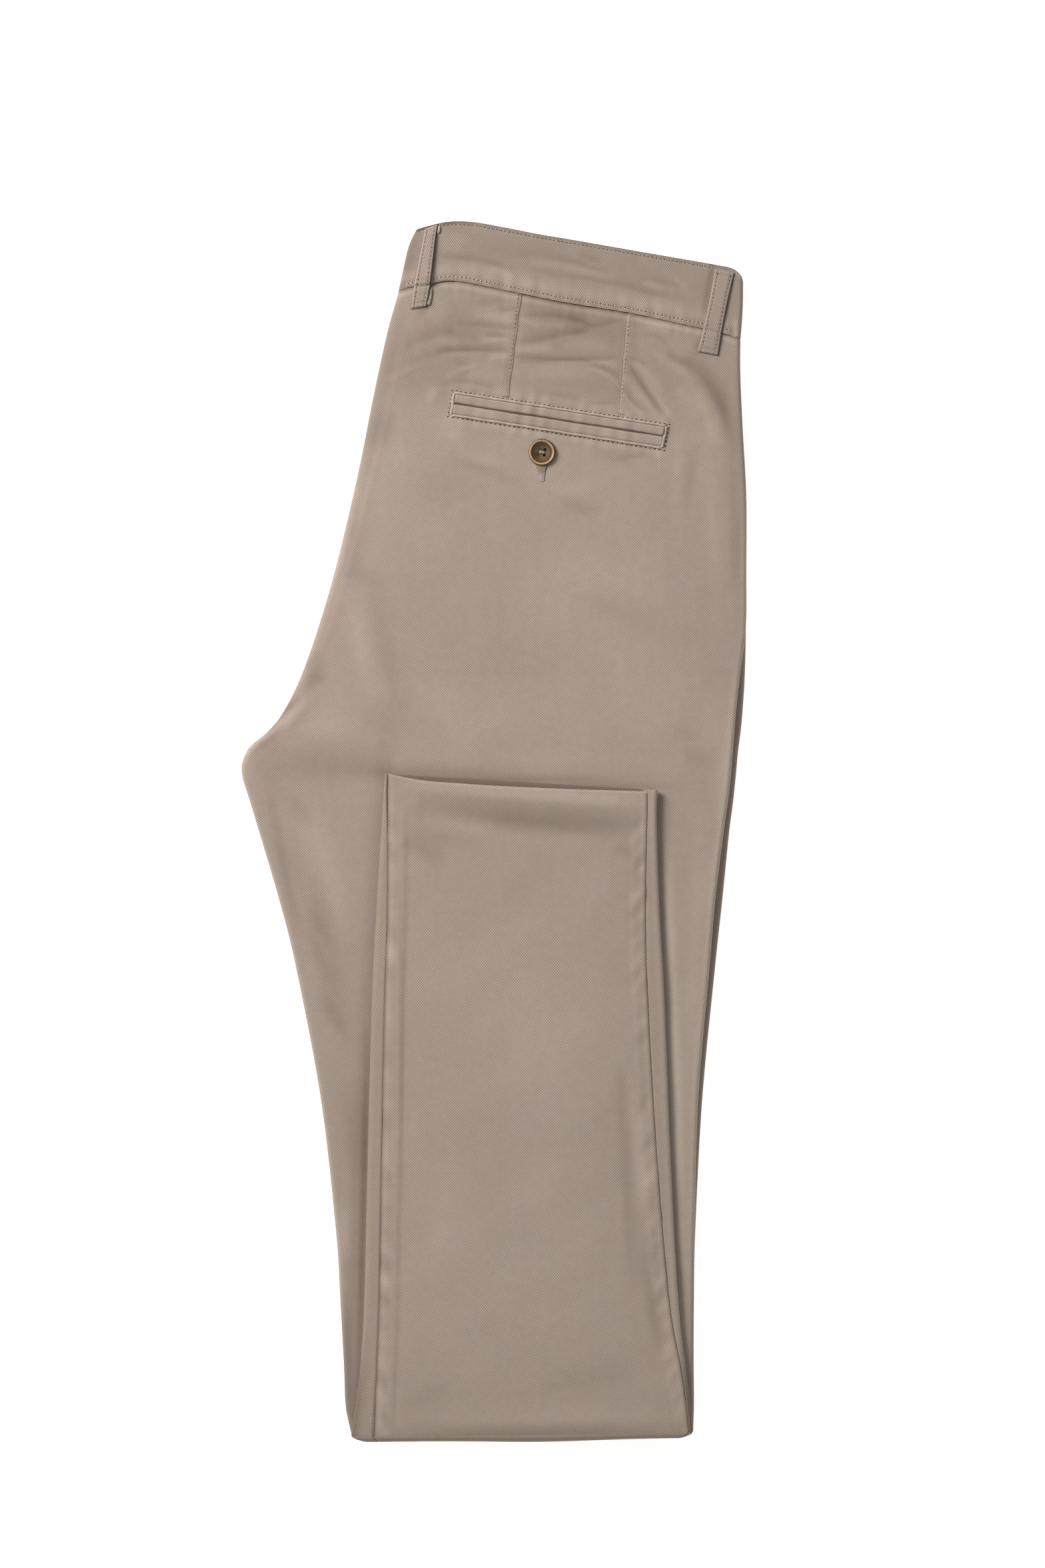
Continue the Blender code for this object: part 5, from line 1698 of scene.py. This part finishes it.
# %% Making the belt loops
loop_paths, loop_bases = {}, {}
for name, loop in LOOPS.items():
    path = loop_path(**loop)
    loop_paths[name], loop_bases[name] = path, loop_surface(name, path)
    half, count = loop["half"], 31
    across, height = section(half, LOOP_THICK, count, 0.0, 8, loop_top(half, loop["stitch"]))
    a = np.linspace(-1, 1, count)
    run = path_runs(path)[0]
    wide = loop_narrow(name, run)
    rings, run = strip(path, across, height, loop_bases[name], 1.1, wide, loop_slant(name, run))
    rings[..., 2] -= 0.45 * bars(run)[:, None] * (1 - np.abs(np.concatenate([a, a[::-1]])) ** 6)
    edge, groove = bell(np.abs(a) - 0.93, 0.06), bell(np.abs(a) * half - loop["stitch"], 0.7)
    # paler edges; painted shade in the grooves, bar tacks and underneath; painted shadow down both sides
    shade = 0.16 * edge - 0.34 * groove + 0.05
    shade[:3] -= (3.0, 2.4, 0.8) if name == "back" else (2.6, 1.5, 0.2)
    shade[-2:] -= (0.4, 1.6)
    tone_and_shade = doubled(shade, -1.2) - 0.25 * bars(run)[:, None]
    add_strip("loop_" + name + "_right", rings, loop_uv(run, across), LOOP_FINISH, tone_and_shade,
              "belt_loop_" + name + "_right")
    across, height = section(half, UNDER_LOOP_THICK, 19, 0.0, 8)
    rings, run = strip(path, across, height, lambda x, y: 0 * x, 1.0, wide, loop_slant(name, run))
    add_strip("loop_" + name + "_left", rings, loop_uv(run, across), LOOP_FINISH, 0.0,
              "belt_loop_" + name + "_left")

# %% The back loop's turned-under ends
path = loop_paths["back"]
_, tangent = path_runs(path)
aside = left_of(tangent)
TURNED_ENDS = ((0, 7, 4.6, 1.0), (45, 59, 5.3, 1.5))  # first and last place, way out, half width
for number, (first, last, out, half) in enumerate(TURNED_ENDS):
    t = np.linspace(0, 1, last - first)[:, None]
    line = path[first:last] + aside[first:last] * (out + 0.5 * np.sin(math.pi * t))
    line = line - tangent[first:last] * out * 0.3
    across, height = section(half, 0.95, 9, 0.1, 6)
    rings, run = strip(line, across, height, under_loop, 0.4)
    # paler in the middle, painted shade at the edges and underneath
    tone_and_shade = doubled(0.4 - 1.7 * np.abs(np.linspace(-1, 1, 9)) ** 5, -0.8)
    add_strip("loop_back_end_%d" % number, rings, grain(rings, 0.2), LOOP_FINISH, tone_and_shade)

# %% [markdown]
# ## Stitches
# Every visible stitch is a short bent capsule that goes into the cloth at both ends, with a
# needle hole at each end, a small dark lens of painted shade. There are some hundreds, so each
# row's stitches are worked out together as one array and joined in one mesh, and each has only a
# few dozen faces.

# %% Thread
TWIST = 0.0009  # metres from one turn of the twist to the next
THREAD_TAN = (0.300, 0.220, 0.150, 1.0)
THREAD_CREAM = (0.480, 0.412, 0.350, 1.0)


def thread_finish(name, dark, pale):
    """Twisted cotton thread. Its tone value makes it paler, and a fine slanting wave its twist."""
    finish = Finish(name, Roughness=0.7, Sheen_Weight=0.2)
    u, v, _ = finish.parts(finish.cloth_place())
    twist = finish.maths("SINE", (u + v * 1.4) * (2 * math.pi / TWIST)) * 0.5 + 0.5
    uneven = finish.noise(finish.place(), 260.0, 2.0) - 0.5
    colour = finish.mix(finish.attribute("tone_and_shade") + twist * 0.1 + uneven * 0.6, dark, pale)
    return finish.done(colour, 0.3, 0.0001, twist)


THREAD_FINISH = thread_finish("cotton thread", THREAD_TAN, THREAD_CREAM)

# %% Rows of stitches
PITCH = 2.6
rng = np.random.default_rng(7)


def along_path(path, pitch):
    """Middles of stitches about a pitch apart along a path, and the path's direction there."""
    run, tangent = path_runs(path)
    count = max(1, int(round(run[-1] / pitch)))
    at = (np.arange(count) + 0.5) * run[-1] / count
    spots = np.stack([np.interp(at, run, np.asarray(path)[:, i]) for i in range(2)], -1)
    ways = np.stack([np.interp(at, run, tangent[:, i]) for i in range(2)], -1)
    return spots, ways / np.linalg.norm(ways, axis=1, keepdims=True)

# %% A stitch
def stitch_points(spots, ways, surface, long=1.75, thick=0.68, lean=0.0, ragged=0.05):
    """Rings of each stitch. Along it s runs from -1 to 1. Its middle rises over the cloth by
    0.16 (1 - s^4) - 0.4 s^8 of its thickness, and its radius is 1 - 0.5 s^8 of half of that."""
    count = len(spots)
    turn = lean + rng.normal(0, ragged, count)
    ways = np.stack([ways[:, 0] * np.cos(turn) - ways[:, 1] * np.sin(turn),
                     ways[:, 0] * np.sin(turn) + ways[:, 1] * np.cos(turn)], -1)
    side = left_of(ways)
    s, k = np.linspace(-1, 1, 6), np.arange(6) * math.pi / 3
    half = long / 2 * rng.uniform(0.92, 1.05, count)
    radius = thick / 2 * rng.uniform(0.88, 1.1, count)[:, None] * (1 - 0.5 * s ** 8)
    line = spots[:, None] + ways[:, None] * (half[:, None] * s)[..., None]
    base = surface(line[..., 0], line[..., 1])
    rise = thick * (0.16 * (1 - s ** 4) - 0.40 * s ** 8)
    xy = line[:, :, None] + side[:, None, None] * (radius[..., None] * np.cos(k))[..., None]
    z = (base + rise)[..., None] + radius[..., None] * 0.85 * np.sin(k)
    return np.concatenate([xy, z[..., None]], -1)


def joined_tubes(points):
    """Faces of many closed tubes, (tubes, rings, sides, 3), as one mesh."""
    tubes, rings, sides = points.shape[:3]
    wall = grid_faces(rings, sides, True)
    first, last = np.arange(sides)[::-1], (rings - 1) * sides + np.arange(sides)
    step = (np.arange(tubes) * rings * sides)[:, None, None]
    quads = (wall[None] + step).reshape(-1, 4).tolist()
    caps = (np.stack([first, last])[None] + step).reshape(-1, sides).tolist()
    return quads + caps

# %% Pieces of stitches, and of the needle holes' painted shade
def add_stitches(name, rows, finish=THREAD_FINISH):
    """One piece from rows of stitches. A row is (spots, ways, surface, paleness, options)."""
    points = np.concatenate([stitch_points(*row[:3], **row[4]) for row in rows])
    pale = np.concatenate([row[3] + rng.normal(0, 0.14, len(row[0])) for row in rows])
    around = np.linspace(0, 1.6, 6)
    along = np.linspace(0, 2.4, 6)
    uv = np.stack(np.broadcast_arrays(around[None, None], along[None, :, None]), -1)
    uv = np.broadcast_to(uv, (len(points), 6, 6, 2))
    tone_and_shade = np.broadcast_to(pale[:, None, None], points.shape[:3])
    mesh = outward(make_mesh(name, points, joined_tubes(points), uv, tone_and_shade))
    return add_piece(name, mesh, finish, "thread")


def holes(rows, pitch=PITCH):
    """Spots half a pitch before each stitch of some rows, where the needle went in."""
    return [(row[0] - row[1] * pitch / 2, row[2]) for row in rows]


def add_hole_shade(name, spots_and_surfaces, radius, dark):
    """Painted shade of needle holes: small dark lenses, half sunk in the cloth."""
    spots = np.concatenate([spots for spots, _ in spots_and_surfaces])
    z = np.concatenate([surface(s[:, 0], s[:, 1]) for s, surface in spots_and_surfaces])
    k = np.arange(7) * 2 * math.pi / 7
    size = radius * rng.uniform(0.8, 1.15, len(spots))[:, None]
    rings = []
    for share, up in ((0.25, 0.09), (1.0, 0.0), (0.25, -0.09)):
        rings.append(np.stack([spots[:, :1] + size * share * np.cos(k),
                               spots[:, 1:] + size * share * np.sin(k) * 0.85,
                               z[:, None] + 0.03 + up + 0 * k], -1))
    points = np.stack(rings, 1)
    mesh = outward(make_mesh(name, points, joined_tubes(points), points[..., :2],
                             np.full(points.shape[:3], dark)))
    return add_piece(name, mesh, CLOTH_FINISH, "cloth")


def row(path, surface, pale, pitch=PITCH, **options):
    """A row of stitches along a path on a surface. pale is how pale its thread is."""
    return (*along_path(path, pitch), surface, pale, options)


# %% Waistband's rows
share = np.linspace(0.012, 0.915, 300)
top_row = row(band_xy(share, 0 * share + 1 - STITCH_IN / BAND_TALL), band_height, 0.15, thick=0.6)
share = np.linspace(0.012, 0.975, 300)
seam_row = list(row(band_xy(share, 0 * share + SEAM_STITCH / BAND_TALL), band_height, 0.0))
seam_row[3] = 0.90 - 0.5 * eased(-30, 30, seam_row[0][:, 0])
rows = [top_row, tuple(seam_row)]
add_stitches("stitches_waistband", rows)
add_hole_shade("needle_hole_shade_waistband", holes(rows), 0.60, -2.0)

# %% Rows round the pocket, and down the darts
POCKET_ROW = dict(pitch=2.95, long=1.7, thick=0.60)
top_q, low_q = SLIT / 2 + WELT_UPPER + 0.4 + 1.75, -(SLIT / 2 + WELT_LOWER + 0.4 + 1.85)
end_p = POCKET_LONG / 2 + 3.0
t = np.linspace(0, 1, 60)
sides = (  # along the pocket, up from its slit, and how pale
    (-end_p + 2 * end_p * t, top_q + 0 * t, 0.42),
    (end_p - 0.5 - (2 * end_p - 1.0) * t, low_q + 0 * t, 0.42),
    (end_p - 0.6 * t, top_q + (low_q - top_q) * t, 0.5),
    (-end_p + 0.2 * t, low_q + (top_q - low_q) * t, 0.5),
)
rows = [row(pocket_spot(p, q), seat_height, pale, **POCKET_ROW) for p, q, pale in sides]
add_stitches("stitches_pocket", rows)
dart_rows = []
for waist_end, pocket_end, way in DARTS:
    line = straight(waist_end, pocket_end, t)[2:-1]
    aside = left_of(path_runs(line)[1]) * way
    away = np.linspace(2.0, 1.1, len(line))[:, None]
    dart_rows.append(row(line + aside * away, lambda x, y: seat_height(x, y) + 0.08, 0.4,
                         thick=0.46, long=1.5))
add_stitches("stitches_darts", dart_rows)
add_hole_shade("needle_hole_shade_pocket", holes(rows, POCKET_ROW["pitch"]), 0.62, -2.0)
add_hole_shade("needle_hole_shade_darts", holes(dart_rows), 0.45, -1.8)

# %% Rows on the belt loops, and their bar tacks
rows, bar_rows = [], []
for name, loop in LOOPS.items():
    path, base = loop_paths[name], loop_bases[name]
    run, tangent = path_runs(path)
    aside = left_of(tangent)
    narrow = loop_narrow(name, run)

    def face(x, y, base=base):
        return base(x, y) + LOOP_THICK - 0.27

    for way in (-1, 1):
        line = path + aside * (way * loop["stitch"] * narrow)[:, None]
        rows.append(row(line[3:-5], face, 0.20, long=1.4, thick=0.5, ragged=0.15))
    slant = loop_slant(name, run)
    for at in (BAR_FROM_TOP, run[-1] - BAR_FROM_END):
        middle = [np.interp(at, run, path[:, i]) for i in range(2)]
        across = np.linspace(-1, 1, 12)[:, None] * (loop["half"] * np.interp(at, run, narrow) - 1.2)
        line = np.array(middle) + across * (aside[30] - tangent[30] * np.interp(at, run, slant))
        bar_rows.append(row(line, lambda x, y, face=face: face(x, y) - 0.30, 0.35, pitch=0.85,
                            long=1.4, thick=0.5, lean=1.35))
add_stitches("stitches_loops", rows + bar_rows)
add_hole_shade("needle_hole_shade_loops", holes(rows), 0.55, -1.8)

# %% [markdown]
# ## The button, its thread and the buttonhole
# The button is turned from horn: a raised ring round a sunk middle with four holes. Its face is
# worked out in polar coordinates as a height over radius, from which each hole takes a well. The
# buttonhole under it is a narrow keyhole of close zigzag stitches.

# %% Button
BUTTON_RADIUS, HOLE_OUT, HOLE_RADIUS, BUTTON_TILT = 8.4, 1.66, 0.92, math.radians(-7)
BUTTON_SUNK, FACE_LEVEL, WELL_DEEP = 0.35, 1.55, 1.35  # into the cloth; over that; the holes
BUTTON_PROFILE = np.array((  # radius as a share, and height over the cloth
    (0.00, FACE_LEVEL), (0.30, FACE_LEVEL), (0.60, 1.58), (0.745, 1.66), (0.800, 1.90), (0.835, 2.22),
    (0.865, 2.36), (0.895, 2.36), (0.935, 2.18), (0.975, 1.75), (1.00, 1.20), (0.99, 0.75),
    (0.93, 0.45), (0.70, 0.35), (0.35, 0.35), (0.00, 0.35),
))


def tilted(x, y, turn=BUTTON_TILT):
    """A place on the button, turned as the button is."""
    cos, sin = math.cos(turn), math.sin(turn)
    return x * cos - y * sin, x * sin + y * cos


def button_points(around=144, steps=110):
    """Rings from the middle of the face out over the edge and in again underneath."""
    arc = np.concatenate([[0], np.cumsum(np.hypot(*(np.diff(BUTTON_PROFILE, axis=0) * (8.45, 1)).T))])
    t = np.linspace(0, 1, steps)
    r = curve(arc / arc[-1], BUTTON_PROFILE[:, 0], t)
    z = curve(arc / arc[-1], BUTTON_PROFILE[:, 1], t)
    r = np.maximum(r, 0.004) * BUTTON_RADIUS
    angle = np.arange(around) * 2 * math.pi / around
    x, y = r[:, None] * np.cos(angle), r[:, None] * np.sin(angle)
    z = z[:, None] + 0 * x
    for i in (-1, 1):
        for j in (-1, 1):
            away = np.hypot(x - i * HOLE_OUT, y - j * HOLE_OUT)
            face = (t < 0.42)[:, None]
            z = z - face * (WELL_DEEP * (1 - eased(HOLE_RADIUS - 0.14, HOLE_RADIUS + 0.05, away))
                            - 0.07 * bell(away - HOLE_RADIUS - 0.2, 0.2))
    lift = float(seat_height(*BUTTON_CENTRE)) - BUTTON_SUNK
    z = z + lift + (0.035 * x - 0.02 * y)
    x, y = tilted(x, y)
    return np.stack([x + BUTTON_CENTRE[0], y + BUTTON_CENTRE[1], z], -1)

# %% Horn
def button_finish():
    """Horn: a dark brown middle, a pale ring and a dark edge, with cloudy grain, and painted shade
    at the foot of the ring, over the face's upper left and in the four holes.
    """
    finish = Finish("horn button", Roughness=0.50, Specular_IOR_Level=0.22)
    place = finish.place()
    x, y, _ = finish.parts(place)
    x, y = (x - BUTTON_CENTRE[0] * MM) * (1 / MM), (y - BUTTON_CENTRE[1] * MM) * (1 / MM)
    x, y = tilted(x, y, -BUTTON_TILT)
    cloud = finish.noise(place, 240.0, 3.0) - 0.5
    streak = finish.noise(finish.node("ShaderNodeMapping", None, {
        "Vector": place, "Scale": (1.0, 0.3, 1.0)}).outputs[0], 900.0, 2.0) - 0.5
    out = finish.maths("SQRT", x * x + y * y) + cloud * 0.5 + (x + y) * 0.02
    # the face darkens towards its upper left: painted shade from the raised ring
    face = finish.mix(finish.step(-0.5, 0.5, cloud * 1.4 + streak * 0.6 - y * 0.06 + x * 0.09),
                      (0.046, 0.026, 0.011, 1.0), (0.140, 0.095, 0.046, 1.0))
    ring = finish.mix(finish.step(-0.4, 0.4, streak),
                      (0.300, 0.180, 0.087, 1.0), (0.450, 0.300, 0.163, 1.0))
    inner = finish.step(0.75 * BUTTON_RADIUS, 0.82 * BUTTON_RADIUS, out)
    outer = finish.step(0.915 * BUTTON_RADIUS, 0.965 * BUTTON_RADIUS, out)
    # painted shade in the hollow at the foot of the ring
    lip = finish.step(0.50 * BUTTON_RADIUS, 0.76 * BUTTON_RADIUS, out)
    face = finish.mix(lip, face, (0.060, 0.030, 0.013, 1.0))
    colour = finish.mix(outer, finish.mix(inner, face, ring), (0.055, 0.030, 0.017, 1.0))
    from_x, from_y = abs(x) - HOLE_OUT, abs(y) - HOLE_OUT
    near = finish.maths("SQRT", from_x * from_x + from_y * from_y)
    # the four holes are painted with deep shade
    colour = finish.mix(1 - finish.step(0.80, 1.05, near), colour, (0.020, 0.010, 0.007, 1.0))
    return finish.done(colour, 0.25, 0.0001, streak + cloud)


mesh = closed_mesh("pocket_button", button_points())
add_piece("pocket_button", mesh, button_finish(), "button", "button")

# %% Button thread
face_level = float(seat_height(*BUTTON_CENTRE)) - BUTTON_SUNK + FACE_LEVEL


def thread_bar(ends):
    """A strand over the button's middle, between two holes, as one long stitch."""
    (x0, y0), (x1, y1) = ends
    spot = np.array([[(x0 + x1) / 2 + BUTTON_CENTRE[0], (y0 + y1) / 2 + BUTTON_CENTRE[1]]])
    way = np.array([[x1 - x0, y1 - y0]])
    long = float(np.hypot(*way[0]))
    return spot, way / long, lambda x, y: face_level + 0 * x, 0.45, dict(long=long, thick=0.7)


strands = [thread_bar((tilted(-1.7, 0.9), tilted(1.7, -0.9))),
           thread_bar((tilted(-1.7, -0.9), tilted(1.7, 0.9))),
           thread_bar((tilted(-1.8, 0.2), tilted(1.8, 0.15)))]
GOLD_THREAD = thread_finish("button thread", (0.260, 0.150, 0.060, 1.0), (0.560, 0.410, 0.250, 1.0))
thread = add_stitches("button_strands", strands, GOLD_THREAD)
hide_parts("button_thread")

# %% Buttonhole
HOLE_TOP, HOLE_END = np.array((29.8, 232.0)), np.array((29.7, 219.2))
t = np.linspace(0, 1, 24)
line = straight(HOLE_TOP, HOLE_END, t)
wide = curve((0, 0.25, 0.5, 0.75, 1.0), (3.9, 3.6, 2.6, 1.8, 1.4), t)
across, height = section(1.0, 0.5, 9, 0.2, 3)
rings, run = strip(line, across, height, seat_height, 0.8, wide)
a = np.linspace(-1, 1, 9)
# darker all over, with painted shade along the cut and at the edges
tone_and_shade = doubled(-0.55 - 0.5 * bell(a, 0.3) - 0.9 * bell(np.abs(a) - 0.95, 0.2), -0.5)
add_strip("buttonhole_bed", rings, grain(rings), CLOTH_FINISH, tone_and_shade)
rows = []
for way in (-0.72, -0.26, 0.26, 0.72):
    path = line + np.stack([way * wide * 0.9, 0 * t], -1)
    pale = 0.05 + 0.75 * eased(0.5, 0.75, (HOLE_TOP[1] - along_path(path, 0.7)[0][:, 1]) / 12.8)
    rows.append(row(path, lambda x, y: seat_height(x, y) + 0.30, pale, pitch=0.7, long=1.25,
                    thick=0.42, lean=math.copysign(1.0, way), ragged=0.5))
LILAC_THREAD = thread_finish("buttonhole thread", (0.205, 0.160, 0.132, 1.0), (0.520, 0.480, 0.485, 1.0))
add_stitches("stitches_buttonhole", rows, LILAC_THREAD)

# %% [markdown]
# ## Floor, light and camera
# The floor is a pale plane that glows a little, like a light table, which keeps shadows soft. One
# large lamp stands low at the upper left, so that it rakes over the creases, and a weaker one
# fills from the other side. The camera looks straight down.

# %% Stage and light
def add_stage():
    """A pale floor that glows."""
    bpy.ops.mesh.primitive_plane_add(size=8, location=(0, 0, -0.0003))
    floor = bpy.context.object
    floor.name = "floor"
    paper = Finish("pale paper", Roughness=0.9)
    paper.shader.inputs["Base Color"].default_value = (0.90, 0.90, 0.90, 1)
    paper.shader.inputs["Emission Color"].default_value = (1, 1, 1, 1)
    paper.shader.inputs["Emission Strength"].default_value = 0.68
    floor.data.materials.append(paper.material)


def add_light(name, size, power, location):
    """A square lamp that faces the middle of the trousers."""
    lamp = bpy.data.lights.new(name, "AREA")
    lamp.size, lamp.energy = size, power
    stand = add_object(name, lamp)
    print(name, power, "W")
    stand.location = location
    stand.rotation_euler = (-Vector(location)).to_track_quat("-Z", "Y").to_euler()


add_stage()
add_light("window", 1.3, 150, (-2.1, 1.7, 1.65))
add_light("fill", 2.6, 9, (1.2, -0.6, 2.6))
world = bpy.data.worlds.new("soft room")
bpy.context.scene.world = world
world.use_nodes = True
world.node_tree.nodes["Background"].inputs[0].default_value = (1, 1, 1, 1)
world.node_tree.nodes["Background"].inputs[1].default_value = 0.30
bpy.context.scene.view_settings.view_transform = "Standard"

# %% Camera
FRAME_TALL, FRAME_MIDDLE, LOOK_LEVEL, STAND_OFF = 0.98, (0.0175, 0.0298), 0.013, 3.0
camera = bpy.data.cameras.new("camera")
camera.sensor_width = 36.0
camera.lens = 36.0 * STAND_OFF / FRAME_TALL
camera.clip_end = 20
shot = add_object("camera", camera)
shot.location = (*FRAME_MIDDLE, LOOK_LEVEL + STAND_OFF)
bpy.context.scene.camera = shot
